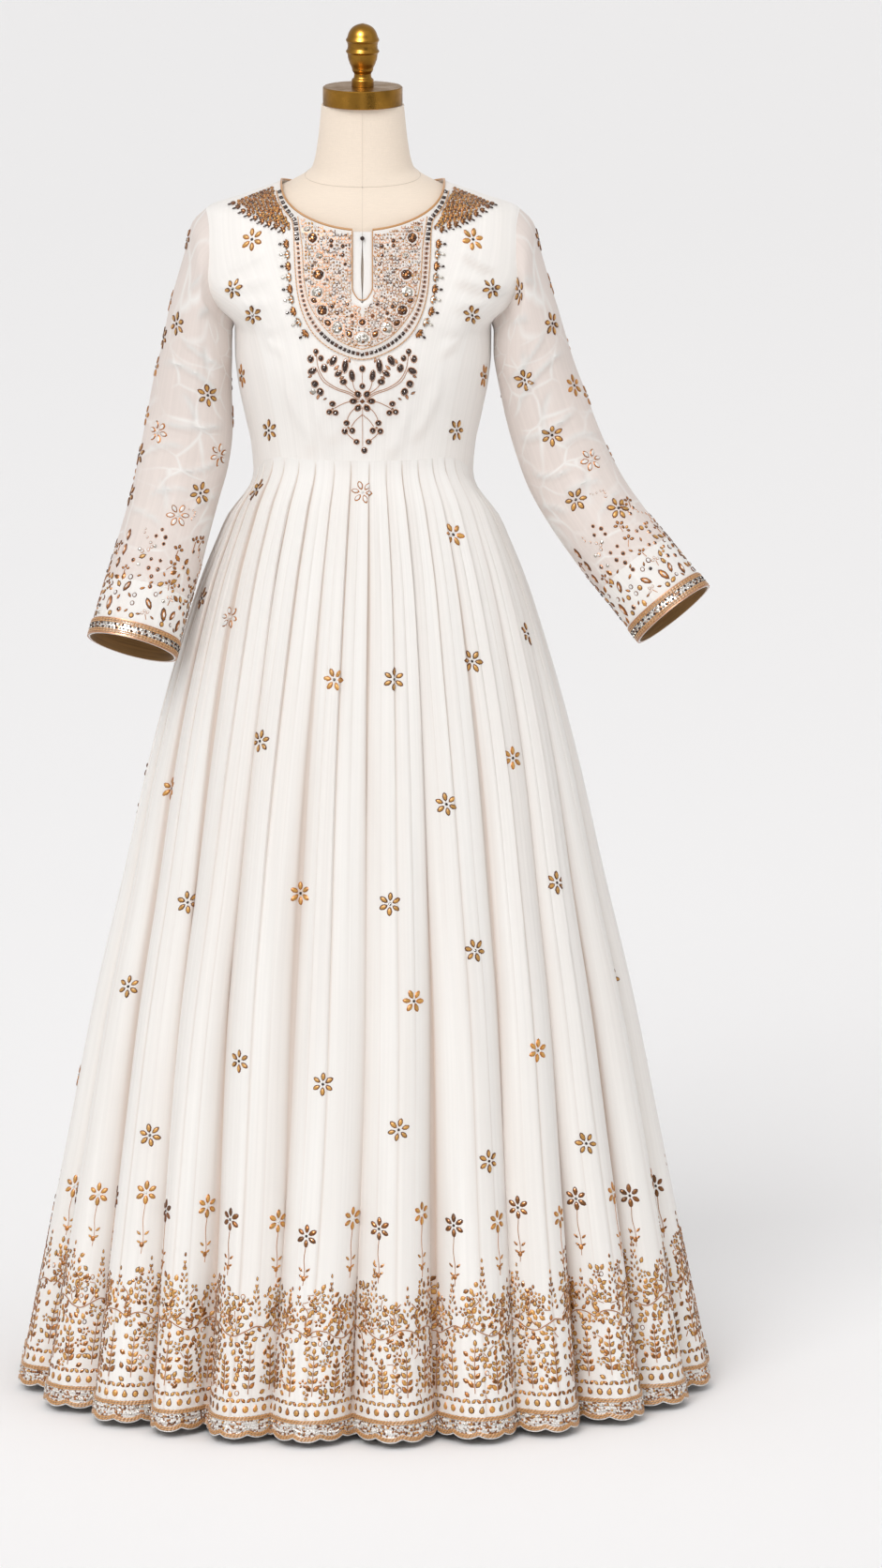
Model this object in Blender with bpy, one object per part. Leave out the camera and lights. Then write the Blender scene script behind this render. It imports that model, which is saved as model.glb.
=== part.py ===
"""Anarkali gown on a limbless dress form.

Metres, +Z up. The front faces -Y, and the wearer's right sleeve lies at -X. The origin is the
centre of the stand's underside. Each piece of cloth is one open sheet of sections, given its
thickness by Solidify, so that neck, hem and cuffs stay open.
"""

import math

import bmesh
import bpy
import numpy as np
from mathutils import Vector
from mathutils.bvhtree import BVHTree

# Cloth and clearances
BODICE_WALL = 0.0011
SLEEVE_WALL = 0.0010
CUFF_WALL = 0.0012
SKIRT_WALL = 0.0011
TRIM_WALL = 0.0010
SEAM_INSET = 0.00018  # each side of a seam draws back this far, which leaves about 0.35 mm
SHOULDER_INSET = 0.00045  # more at the shoulder, where the two walls lean together
PRINCESS_INSET = 0.00030
SLEEVE_GAP = 0.0005  # between the armhole and the sleeve's head
TRIM_LIFT = 0.00035  # a trim lies this far off the cloth that carries it

# Bodice
WAIST_FRONT = 1.137
WAIST_SIDE = 1.105
PRINCESS_AT_WAIST = 0.0956
BACK_SEAM_AT_WAIST = 0.092
NECK_HALF_WIDTH = 0.0964
NECK_POINT_HEIGHT = 1.452
FRONT_NECK_DROP = 0.0453
BACK_NECK_DROP = 0.018
NECK_ROUNDNESS = 1.85
ARMHOLE_TOP = 1.420
ARMHOLE_BOTTOM = 1.284
ARMHOLE_FRONT_DEPTH = 0.050
ARMHOLE_BACK_DEPTH = 0.055
ARMHOLE_STEP = 15  # degrees between points of the armhole
ARMHOLE_SEAM_STEP = 7  # the princess seam meets the armhole this many steps from its top
ARMHOLE_BULGE_LEFT = (0.85, 0.55, 0.25)  # how much of the armhole's curve the first sections keep
SLIT_HALF_WIDTH = 0.0118
SLIT_FOOT = 1.3265
SLIT_ROW = 7  # the slit's pointed foot lies in this row of the front
PRINCESS_ROWS = 5
FRONT_COLUMNS = (8, 4)  # of half the front: along the neckline, then along the shoulder
BACK_COLUMNS = (5, 4)

# Trims
PLACKET_GAP = 0.0012  # from the gown's middle to each placket
PLACKET_INSET = 0.0004  # from the slit's edge to the placket
PLACKET_TOP_DROP = 0.0008
PLACKET_FOOT = 1.3330  # at the middle
PLACKET_FOOT_SLOPE = 1.15  # the foot rises towards the slit's edge
BINDING_RADIUS = 0.0019
BUTTON_RADIUS = 0.0026
BUTTON_HEIGHT = 1.3995
YOKE_HALF_WIDTH = 0.080
YOKE_NECK_REACH = 0.074  # how far out the bib follows the neckline
YOKE_SLIT_FOOT = 1.3230
YOKE_SIDE_FOOT = 1.300
YOKE_FOOT = 1.2628
YOKE_MARGIN = 0.0030  # between the bib and the neckline or the slit
YOKE_LIFT = 0.0020
YOKE_THICKNESS = 0.0008
CUFF_TRIM_HEIGHT = 0.019

# Skirt
HEM_HEIGHT = 0.0125
PLEAT_DEPTH = 0.0075
HEM_BORDER_HEIGHT = 0.022
SCALLOP_DEPTH = 0.0045
SKIRT_ROUNDNESS = 2.05

# Dress form and stand
FORM_CLEARANCE = 0.0071
FORM_BACK_CLEARANCE = 0.0075
FORM_DROP = 0.0016
CAP_RADIUS = 0.0467
CAP_BOTTOM = 1.5437
CAP_TOP = 1.5651
BASE_RADIUS = 0.160
BASE_HEIGHT = 0.012
POLE_RADIUS = 0.0125
GAP = 0.0003


def table(names, rows):
    """Rows of numbers as named columns."""
    return {name: np.array(column, float) for name, column in zip(names.split(), zip(*rows))}


# Sections of the torso. gown_width is the cloth's half width, which runs on over the armhole.
TORSO = table(
    "height form_width gown_width front back centre_y squareness",
    [
        (0.800, 0.1480, 0.1500, 0.0980, 0.1080, 0.006, 2.10),
        (0.860, 0.1570, 0.1600, 0.1030, 0.1140, 0.006, 2.10),
        (0.930, 0.1550, 0.1580, 0.1030, 0.1120, 0.006, 2.10),
        (1.000, 0.1460, 0.1480, 0.1000, 0.1020, 0.006, 2.10),
        (1.060, 0.1330, 0.1360, 0.0965, 0.0920, 0.005, 2.12),
        (1.105, 0.1262, 0.1296, 0.0955, 0.0870, 0.005, 2.15),
        (1.140, 0.1283, 0.1320, 0.0995, 0.0875, 0.005, 2.15),
        (1.176, 0.1357, 0.1394, 0.1085, 0.0905, 0.005, 2.15),
        (1.219, 0.1440, 0.1477, 0.1235, 0.0955, 0.005, 2.15),
        (1.250, 0.1470, 0.1507, 0.1305, 0.0985, 0.005, 2.15),
        (1.284, 0.1465, 0.1510, 0.1275, 0.1015, 0.005, 2.20),
        (1.310, 0.1490, 0.1760, 0.1200, 0.1040, 0.005, 2.30),
        (1.335, 0.1540, 0.1920, 0.1115, 0.1050, 0.005, 2.35),
        (1.352, 0.1585, 0.1960, 0.1060, 0.1040, 0.005, 2.35),
        (1.380, 0.1680, 0.1950, 0.0975, 0.0990, 0.005, 2.30),
        (1.4067, 0.1765, 0.1890, 0.0885, 0.0920, 0.005, 2.15),
        (1.420, 0.1775, 0.1840, 0.0820, 0.0860, 0.005, 2.00),
        (1.436, 0.1365, 0.1410, 0.0745, 0.0785, 0.005, 2.00),
        (1.452, 0.0890, 0.0964, 0.0660, 0.0700, 0.005, 2.00),
        (1.472, 0.0592, 0.0600, 0.0600, 0.0635, 0.005, 2.00),
        (1.500, 0.0530, 0.0540, 0.0535, 0.0550, 0.004, 2.00),
        (1.545, 0.0482, 0.0490, 0.0485, 0.0495, 0.003, 2.00),
    ],
)

# The seams between the front or back and the side panels, below the armhole.
PRINCESS_SEAM = table(
    "height half_width",
    [(1.137, PRINCESS_AT_WAIST), (1.210, 0.1067), (1.260, 0.1170), (1.294, 0.1280), (1.318, 0.1480)],
)
BACK_SEAM = table(
    "height half_width",
    [(1.105, BACK_SEAM_AT_WAIST), (1.210, 0.1050), (1.260, 0.1150), (1.294, 0.1270), (1.318, 0.1470)],
)

# Sections of each sleeve: the section's outer and inner points seen from the front, its centre's
# y, its half depth, and how far it leans forward. x is measured outward from the gown's centre.
SLEEVE_COLUMNS = "outer_x outer_z inner_x inner_z centre_y half_depth lean"
RIGHT_SLEEVE = table(
    SLEEVE_COLUMNS,
    [
        (0.1990, 1.4050, 0.1530, 1.2780, 0.004, 0.0530, 0),
        (0.2095, 1.3680, 0.1532, 1.2690, 0.003, 0.0555, 0),
        (0.2230, 1.3210, 0.1534, 1.2570, 0.002, 0.0555, 0),
        (0.2352, 1.2660, 0.1536, 1.2400, 0.000, 0.0520, 2),
        (0.2465, 1.2190, 0.1536, 1.1960, -0.002, 0.0490, 4),
        (0.2545, 1.1780, 0.1545, 1.1550, -0.005, 0.0480, 8),
        (0.2625, 1.1360, 0.1605, 1.1130, -0.010, 0.0470, 12),
        (0.2700, 1.0990, 0.1700, 1.0765, -0.018, 0.0460, 16),
        (0.2790, 1.0670, 0.1785, 1.0430, -0.027, 0.0450, 20),
        (0.2900, 1.0310, 0.1895, 1.0040, -0.040, 0.0445, 23),
        (0.3037, 0.9880, 0.2030, 0.9600, -0.057, 0.0440, 25),
        (0.3220, 0.9270, 0.2210, 0.8985, -0.083, 0.0435, 25),
    ],
)
LEFT_SLEEVE = table(
    SLEEVE_COLUMNS,
    [
        (0.1990, 1.4050, 0.1530, 1.2780, 0.004, 0.0530, 0),
        (0.2095, 1.3680, 0.1532, 1.2690, 0.003, 0.0555, 0),
        (0.2230, 1.3210, 0.1534, 1.2570, 0.002, 0.0555, 0),
        (0.2370, 1.2750, 0.1542, 1.2410, 0.000, 0.0520, 0),
        (0.2490, 1.2370, 0.1590, 1.2100, 0.000, 0.0500, 2),
        (0.2613, 1.2046, 0.1665, 1.1754, -0.001, 0.0485, 4),
        (0.2755, 1.1653, 0.1805, 1.1307, -0.004, 0.0480, 8),
        (0.2903, 1.1306, 0.1977, 1.0854, -0.009, 0.0475, 12),
        (0.3086, 1.0993, 0.2214, 1.0427, -0.017, 0.0465, 15),
        (0.3290, 1.0720, 0.2470, 1.0080, -0.028, 0.0455, 17),
        (0.3600, 1.0360, 0.2803, 0.9690, -0.043, 0.0440, 18),
        (0.4053, 0.9822, 0.3257, 0.9154, -0.065, 0.0435, 18),
    ],
)

# The skirt's outline over its drop, from 0 at the waist seam to 1 at the hem.
SKIRT = table(
    "drop half_width front back",
    [
        (0.000, 0.1296, 0.0955, 0.0870),
        (0.015, 0.1400, 0.1030, 0.0960),
        (0.031, 0.1490, 0.1100, 0.1030),
        (0.065, 0.1650, 0.1210, 0.1150),
        (0.119, 0.1895, 0.1370, 0.1320),
        (0.194, 0.2165, 0.1580, 0.1550),
        (0.304, 0.2502, 0.1860, 0.1860),
        (0.451, 0.2879, 0.2190, 0.2240),
        (0.576, 0.3212, 0.2430, 0.2530),
        (0.744, 0.3583, 0.2740, 0.2890),
        (0.900, 0.3925, 0.3020, 0.3200),
        (1.000, 0.4150, 0.3200, 0.3400),
    ],
)
SKIRT_ROWS = (0, 0.016, 0.055, 0.14, 0.29, 0.50, 0.74, None, 1)  # None is the border's top

# The folds round the skirt, from the left side seam (-90) over the front. Each row gives where a
# fold starts at the waist and at the hem in degrees, its depth at the hem, and its pleats.
FRONT_FOLDS = table(
    "waist hem depth pleats",
    [
        (-90, -90, 0.036, 1),
        (-81, -73, 0.040, 1),
        (-70, -55, 0.042, 2),
        (-52, -39.4, 0.038, 2),
        (-33, -28.8, 0.044, 2),
        (-13, -15.7, 0.036, 2),
        (3, -1.2, 0.040, 2),
        (19, 12.5, 0.044, 2),
        (37, 27, 0.040, 2),
        (54, 41, 0.042, 2),
        (70, 57, 0.038, 1),
        (81, 74, 0.040, 1),
    ],
)
BACK_FOLD_COUNT = 12
BACK_FOLD_DEPTH = 0.040
COLUMNS_PER_PLEAT = {1: 6, 2: 4}

FINIAL_PROFILE = table(
    "radius height",
    [
        (0.0130, 1.5654),
        (0.0130, 1.5725),
        (0.0102, 1.5765),
        (0.0100, 1.5800),
        (0.0122, 1.5840),
        (0.0126, 1.5865),
        (0.0152, 1.5925),
        (0.0171, 1.5990),
        (0.0178, 1.6036),
        (0.0196, 1.6064),
        (0.0178, 1.6096),
        (0.0174, 1.6130),
        (0.0180, 1.6166),
        (0.0196, 1.6197),
        (0.0180, 1.6232),
        (0.0165, 1.6280),
        (0.0125, 1.6340),
        (0.0062, 1.6378),
    ],
)
FINIAL_TOP = 1.6392


def smooth(at, xs, ys):
    """A curve through the rows with no overshoot between them."""
    step = np.diff(xs)
    slope = np.diff(ys) / step
    tangent = np.zeros(len(xs))
    same = slope[:-1] * slope[1:] > 0
    near, far = step[:-1] + 2 * step[1:], 2 * step[:-1] + step[1:]
    with np.errstate(divide="ignore", invalid="ignore"):
        mean = (near + far) / (near / slope[:-1] + far / slope[1:])
    tangent[1:-1] = np.where(same, mean, 0)
    tangent[0], tangent[-1] = slope[0], slope[-1]
    at = np.clip(np.asarray(at, float), xs[0], xs[-1])
    i = np.clip(np.searchsorted(xs, at, "right") - 1, 0, len(xs) - 2)
    t = (at - xs[i]) / step[i]
    return (
        ys[i] * (1 + 2 * t) * (1 - t) ** 2
        + ys[i + 1] * t**2 * (3 - 2 * t)
        + step[i] * (tangent[i] * t * (1 - t) ** 2 - tangent[i + 1] * t**2 * (1 - t))
    )


def step_up(t):
    """0 below 0, 1 above 1, and a soft rise between."""
    t = np.clip(t, 0, 1)
    return t * t * (3 - 2 * t)


def signed_power(value, power):
    return np.sign(value) * np.abs(value) ** power


def oval(angle, half_width, front, back, centre_y, squareness):
    """x and y on a section at angles in degrees from the front, positive towards +X."""
    angle = np.radians(angle)
    cosine = np.cos(angle)
    depth = np.where(cosine > 0, front, back)
    x = half_width * signed_power(np.sin(angle), 2 / squareness)
    return x, centre_y - depth * signed_power(cosine, 2 / squareness)


def torso(column, height):
    return smooth(height, TORSO["height"], TORSO[column])


def gown_point(angle, height):
    """The bodice's outer surface, by angle and height."""
    sizes = [torso(name, height) for name in ("gown_width", "front", "back", "centre_y", "squareness")]
    x, y = oval(angle, *sizes)
    return np.stack([x, y, np.broadcast_to(height, np.shape(x))], -1)


def angle_at(x, height, back=False):
    """The angle where the section at this height has this x."""
    ratio = np.clip(x / torso("gown_width", height), 0, 1)
    angle = np.degrees(np.arcsin(ratio ** (torso("squareness", height) / 2)))
    return 180 - angle if back else angle


def ridge(x):
    """The height of the shoulder line at this x."""
    heights = np.linspace(ARMHOLE_TOP, 1.60, 361)
    widths = torso("gown_width", heights)
    return float(np.interp(x, widths[::-1], heights[::-1]))


class Profile:
    """A cut through the bodice at one x, from below the waist up the front or the back."""

    def __init__(self, x, back):
        bottom = WAIST_SIDE - 0.01
        self.x = x
        self.z = bottom + (ridge(x) - bottom) * (1 - np.linspace(1, 0, 400) ** 2)
        squareness = torso("squareness", self.z)
        ratio = np.clip(x / torso("gown_width", self.z), 0, 1)
        depth = torso("back" if back else "front", self.z)
        reach = depth * (1 - ratio**squareness) ** (1 / squareness)
        self.y = torso("centre_y", self.z) + (reach if back else -reach)
        steps = np.hypot(np.diff(self.y), np.diff(self.z))
        self.up = np.concatenate([[0], np.cumsum(steps)])

    def up_to(self, height):
        return float(np.interp(height, self.z, self.up))

    def at(self, up):
        return self.x, float(np.interp(up, self.up, self.y)), float(np.interp(up, self.up, self.z))


def armhole_point(degrees):
    """A point of the armhole: 0 is the shoulder tip, 90 the front, 180 the underarm."""
    turn = math.radians(degrees)
    half = (ARMHOLE_TOP - ARMHOLE_BOTTOM) / 2
    height = ARMHOLE_BOTTOM + half + half * math.cos(turn)
    front = math.sin(turn) >= 0
    reach = abs(math.sin(turn)) * (ARMHOLE_FRONT_DEPTH if front else ARMHOLE_BACK_DEPTH)
    squareness = torso("squareness", height)
    depth = torso("front" if front else "back", height)
    x = torso("gown_width", height) * (1 - (reach / depth) ** squareness) ** (1 / squareness)
    return float(x), float(torso("centre_y", height) + (-reach if front else reach)), height


def patch(bottom, top, left, right):
    """A grid between four edges, each a row of points, blended from all of them."""
    u = np.linspace(0, 1, len(bottom))[None, :, None]
    v = np.linspace(0, 1, len(left))[:, None, None]
    across = (1 - u) * left[:, None] + u * right[:, None]
    along = (1 - v) * bottom[None] + v * top[None]
    corners = (1 - v) * ((1 - u) * bottom[0] + u * bottom[-1]) + v * ((1 - u) * top[0] + u * top[-1])
    return across + along - corners


def seam_line(seam, meets, rows):
    """x and z down a seam, from its foot to where it meets the armhole."""
    heights = np.append(seam["height"], meets[2])
    widths = np.append(seam["half_width"], meets[0])
    z = np.linspace(heights[0], heights[-1], rows + 1)
    return [(float(smooth(value, heights, widths)), float(value)) for value in z]


def neckline(x, drop):
    """The neckline's height at this x."""
    ratio = min(abs(x) / NECK_HALF_WIDTH, 1.0)
    return NECK_POINT_HEIGHT - drop * (1 - ratio**NECK_ROUNDNESS) ** (1 / NECK_ROUNDNESS)


def neck_points(inner, back, count):
    """Evenly spaced points of half the neckline, from x = inner to the neck point."""
    drop = BACK_NECK_DROP if back else FRONT_NECK_DROP
    turns = np.linspace(math.asin((inner / NECK_HALF_WIDTH) ** (NECK_ROUNDNESS / 2)), math.pi / 2, 120)
    points = []
    for x in NECK_HALF_WIDTH * np.sin(turns) ** (2 / NECK_ROUNDNESS):
        cut = Profile(x, back)
        points.append(cut.at(cut.up_to(neckline(x, drop))))
    points = np.array(points)
    along = np.concatenate([[0], np.cumsum(np.linalg.norm(np.diff(points, axis=0), axis=1))])
    stops = np.linspace(0, along[-1], count + 1)
    return np.stack([np.interp(stops, along, points[:, axis]) for axis in range(3)], -1)


def centre_half(back):
    """One half of the front, or of the back between its side seams, as a grid of 3-D points."""
    seam = BACK_SEAM if back else PRINCESS_SEAM
    drop = BACK_NECK_DROP if back else FRONT_NECK_DROP
    waist = WAIST_SIDE if back else WAIST_FRONT
    inner = 0.0 if back else SLIT_HALF_WIDTH
    sign = -1 if back else 1
    profiles = {}

    def flat(x, height):
        """x and the distance up the cloth: the pattern's own plane."""
        profiles.setdefault(x, Profile(x, back))
        return x, profiles[x].up_to(height)

    meets = armhole_point(sign * ARMHOLE_STEP * ARMHOLE_SEAM_STEP)
    edge = [flat(*point) for point in seam_line(seam, meets, PRINCESS_ROWS)]
    for step in range(ARMHOLE_SEAM_STEP - 1, -1, -1):
        x, _, height = armhole_point(sign * ARMHOLE_STEP * step)
        edge.append(flat(x, height))
    rows = len(edge) - 1
    neck_columns, shoulder_columns = (BACK_COLUMNS if back else FRONT_COLUMNS)
    top = [flat(x, height) for x, _, height in neck_points(inner, back, neck_columns)]
    tip = edge[-1][0]
    shoulder = np.linspace(NECK_HALF_WIDTH, tip, shoulder_columns + 1)[1:]
    top += [flat(x, ridge(x)) for x in shoulder]
    columns = len(top) - 1
    bottom = [flat(x, waist) for x in np.linspace(inner, edge[0][0], columns + 1)]
    above = np.linspace(SLIT_FOOT, neckline(inner, drop), rows - SLIT_ROW + 1)
    heights = np.concatenate([np.linspace(waist, SLIT_FOOT, SLIT_ROW + 1), above[1:]])
    middle = [flat(inner, height) for height in heights]
    plane = patch(*(np.array(side, float) for side in (bottom, top, middle, edge)))
    return np.array([[Profile(x, back).at(up) for x, up in row] for row in plane])


def waist_knots():
    """Angle and height along the waist seam, from the front centre to the side."""
    start = angle_at(PRINCESS_AT_WAIST, WAIST_FRONT)
    steps = 12 - ARMHOLE_SEAM_STEP
    angles = np.linspace(start, 90, steps + 1)
    heights = WAIST_FRONT + (WAIST_SIDE - WAIST_FRONT) * step_up((angles - start) / (90 - start))
    return np.concatenate([[0], angles]), np.concatenate([[WAIST_FRONT], heights])


def waist_height(angle):
    """The waist seam's height at an angle from the front."""
    return np.interp(np.abs(angle), *waist_knots())


def side_half(back):
    """The panel between the princess seam and the side seam, up to the armhole."""
    seam = BACK_SEAM if back else PRINCESS_SEAM
    sign = -1 if back else 1
    meets = armhole_point(sign * ARMHOLE_STEP * ARMHOLE_SEAM_STEP)
    inner = np.array([(angle_at(x, z, back), z) for x, z in seam_line(seam, meets, PRINCESS_ROWS)])
    top = []
    for step in range(ARMHOLE_SEAM_STEP, 13):
        x, _, height = armhole_point(sign * ARMHOLE_STEP * step)
        top.append((angle_at(x, height, back), height))
    top = np.array(top)
    top[-1, 0] = 90
    angles = np.linspace(inner[0, 0], 90, len(top))
    heights = np.full(len(top), WAIST_SIDE) if back else waist_height(angles)
    bottom = np.stack([angles, heights], -1)
    side = np.stack([np.full(PRINCESS_ROWS + 1, 90.0), np.linspace(WAIST_SIDE, ARMHOLE_BOTTOM, 6)], -1)
    plane = patch(bottom, top, inner, side)
    return gown_point(plane[..., 0], plane[..., 1])


def draw_back(grid, sides, by=SEAM_INSET):
    """The grid with the named sides moved in along it, which opens the seam's gap."""
    grid = grid.copy()
    lines = {
        "bottom": (np.s_[0], np.s_[1]),
        "top": (np.s_[-1], np.s_[-2]),
        "left": (np.s_[:, 0], np.s_[:, 1]),
        "right": (np.s_[:, -1], np.s_[:, -2]),
    }
    for side in sides.split():
        edge, inside = lines[side]
        way = grid[inside] - grid[edge]
        grid[edge] += by * way / np.linalg.norm(way, axis=-1, keepdims=True)
    return grid


def mirrored(grid):
    return grid[:, ::-1] * np.array([-1.0, 1, 1])


def material(name, colour, roughness, metallic=0.0):
    made = bpy.data.materials.new(name)
    made.use_nodes = True
    shader = made.node_tree.nodes["Principled BSDF"]
    shader.inputs["Base Color"].default_value = (*colour, 1)
    shader.inputs["Roughness"].default_value = roughness
    shader.inputs["Metallic"].default_value = metallic
    return made


def new_object(name, shape, finish):
    mesh = bpy.data.meshes.new(name)
    shape.to_mesh(mesh)
    shape.free()
    mesh.shade_smooth()
    mesh.set_sharp_from_angle(angle=math.radians(50))
    mesh.materials.append(finish)
    made = bpy.data.objects.new(name, mesh)
    bpy.context.scene.collection.objects.link(made)
    return made


def sheet(name, grids, finish, thickness, outward=-1, round_about=None, closed=False, left_out=None):
    """A sheet of cloth through one or more grids that share edges, with its thickness.

    outward is Solidify's offset: -1 thickens towards the inside, 1 towards the outside. Faces turn
    away from round_about, or from the upright axis. left_out(row, column) drops a face.
    """
    shape = bmesh.new()
    for grid in grids:
        rows, columns = grid.shape[:2]
        verts = [[shape.verts.new(point) for point in row] for row in grid]
        for r in range(rows - 1):
            for c in range(columns if closed else columns - 1):
                if left_out and left_out(r, c):
                    continue
                d = (c + 1) % columns
                shape.faces.new((verts[r][c], verts[r][d], verts[r + 1][d], verts[r + 1][c]))
    bmesh.ops.remove_doubles(shape, verts=shape.verts, dist=1e-6)
    bmesh.ops.delete(shape, geom=[v for v in shape.verts if not v.link_faces], context="VERTS")
    bmesh.ops.triangulate(shape, faces=shape.faces, quad_method="FIXED")
    shape.normal_update()
    centre = None if round_about is None else Vector(round_about)
    facing = 0.0
    for face in shape.faces:
        middle = face.calc_center_median()
        away = middle - centre if centre else Vector((middle.x, middle.y, 0))
        facing += face.normal.dot(away) * face.calc_area()
    if facing < 0:
        bmesh.ops.reverse_faces(shape, faces=shape.faces)
    made = new_object(name, shape, finish)
    wall = made.modifiers.new("Wall", "SOLIDIFY")
    wall.thickness = thickness
    wall.offset = outward
    wall.use_quality_normals = True
    return made


def moved_out(grid, by, closed=False):
    """The grid moved along its own normals, away from the side that its centre lies on."""
    along = np.gradient(grid, axis=0)
    if closed:
        across = np.roll(grid, -1, axis=1) - np.roll(grid, 1, axis=1)
    else:
        across = np.gradient(grid, axis=1)
    normal = np.cross(across, along)
    normal /= np.linalg.norm(normal, axis=-1, keepdims=True)
    if (normal * (grid - grid.mean((0, 1)))).sum() < 0:
        normal = -normal
    return grid + by * normal


def lathe(name, radii, heights, finish, sides=20):
    """A closed turned piece: rings of these radii, with flat ends."""
    shape = bmesh.new()
    turns = np.linspace(0, 2 * math.pi, sides, endpoint=False)
    rings = [
        [shape.verts.new((r * math.cos(t), r * math.sin(t), z)) for t in turns]
        for r, z in zip(radii, heights)
    ]
    close_rings(shape, rings)
    return new_object(name, shape, finish)


def close_rings(shape, rings):
    """Sides between the rings, and a face at each end."""
    for low, high in zip(rings, rings[1:]):
        for i in range(len(low)):
            j = (i + 1) % len(low)
            shape.faces.new((low[i], low[j], high[j], high[i]))
    shape.faces.new(rings[0][::-1])
    shape.faces.new(rings[-1])
    bmesh.ops.recalc_face_normals(shape, faces=shape.faces)


def build_bodice(finish):
    """Front with its slit, two side fronts, and the back."""
    half = draw_back(draw_back(centre_half(back=False), "bottom"), "right", PRINCESS_INSET)
    half = draw_back(half, "top", SHOULDER_INSET)
    rows, columns = half.shape[:2]
    centre = half[:, :1].copy()
    for row in range(rows):
        x, y, z = half[row, 0]
        centre[row, 0] = front_surface(0.0, z)
    full = np.concatenate([mirrored(half), centre, half], axis=1)

    def in_slit(row, column):
        return row >= SLIT_ROW and column in (columns - 1, columns)

    front = sheet("bodice_front", [full], finish, BODICE_WALL, left_out=in_slit)
    close_slit_foot(front, full, columns)
    side = draw_back(draw_back(side_half(back=False), "right bottom top"), "left", PRINCESS_INSET)
    sheet("bodice_side_front_left", [side], finish, BODICE_WALL)
    sheet("bodice_side_front_right", [mirrored(side)], finish, BODICE_WALL)
    back = draw_back(draw_back(centre_half(back=True), "bottom right"), "top", SHOULDER_INSET)
    back_side = draw_back(side_half(back=True), "right bottom top")
    back[: PRINCESS_ROWS + 1, -1] = back_side[:, 0]
    halves = [back, back_side, mirrored(back), mirrored(back_side)]
    sheet("bodice_back", halves, finish, BODICE_WALL)
    return front, full


def close_slit_foot(front, full, columns):
    """Two triangles that bring the slit's sides to a point."""
    shape = bmesh.new()
    shape.from_mesh(front.data)

    def vertex(row, column):
        place = Vector(full[row, column])
        return min(shape.verts, key=lambda v: (v.co - place).length_squared)

    foot = vertex(SLIT_ROW, columns)
    for column in (columns - 1, columns + 1):
        corner, above = vertex(SLIT_ROW, column), vertex(SLIT_ROW + 1, column)
        shape.faces.new((foot, corner, above))
    bmesh.ops.recalc_face_normals(shape, faces=shape.faces)
    shape.normal_update()
    if sum(face.normal.y for face in shape.faces) > 0:
        bmesh.ops.reverse_faces(shape, faces=shape.faces)
    shape.to_mesh(front.data)
    shape.free()
    front.data.shade_smooth()


def front_surface(x, height):
    """A point of the bodice's front at this x and height."""
    cut = Profile(abs(x), False)
    _, y, z = cut.at(cut.up_to(height))
    return x, y, z


def build_plackets(finish):
    """The two strips that meet behind the slit."""
    top = neckline(0.0, FRONT_NECK_DROP) - PLACKET_TOP_DROP
    for name, sign in (("placket_right", -1), ("placket_left", 1)):
        grid = []
        for t in np.linspace(0, 1, 7):
            row = []
            for x in np.linspace(PLACKET_GAP, SLIT_HALF_WIDTH - PLACKET_INSET, 3):
                foot = PLACKET_FOOT + PLACKET_FOOT_SLOPE * x
                row.append(front_surface(sign * x, foot + (top - foot) * t))
            grid.append(row)
        sheet(name, [np.array(grid)], finish, BODICE_WALL)


def build_button(finish):
    """The bead that closes the slit at the neck."""
    shape = bmesh.new()
    bmesh.ops.create_uvsphere(shape, u_segments=10, v_segments=6, radius=BUTTON_RADIUS)
    _, y, z = front_surface(0.0, BUTTON_HEIGHT)
    reach = BUTTON_RADIUS + GAP / 2
    bmesh.ops.translate(shape, verts=shape.verts, vec=(0, y - reach, z))
    new_object("neck_button", shape, finish)


def neck_edge():
    """Points along the neckline's edge, from the slit round the back to the slit."""
    front = neck_points(SLIT_HALF_WIDTH, False, FRONT_COLUMNS[0] + 3)
    back = neck_points(0.0, True, BACK_COLUMNS[0] + 4)
    left = np.concatenate([front, back[::-1][1:]])
    right = left[::-1][1:] * np.array([-1.0, 1, 1])
    return np.concatenate([left, right])


def build_neck_binding(finish):
    """Rolled piping that stands on the neckline's edge."""
    path = neck_edge()
    centre = np.array([0.0, 0.0, 1.60])
    way = centre - path
    along = np.gradient(path, axis=0)
    along /= np.linalg.norm(along, axis=1, keepdims=True)
    way -= (way * along).sum(1, keepdims=True) * along
    way /= np.linalg.norm(way, axis=1, keepdims=True)
    path = path + way * (BINDING_RADIUS + GAP + SEAM_INSET)
    across = np.cross(along, way)
    shape = bmesh.new()
    turns = np.linspace(0, 2 * math.pi, 6, endpoint=False)
    rings = [
        [shape.verts.new(p + BINDING_RADIUS * (math.cos(t) * w + math.sin(t) * a)) for t in turns]
        for p, w, a in zip(path, way, across)
    ]
    close_rings(shape, rings)
    new_object("neck_binding", shape, finish)


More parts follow.
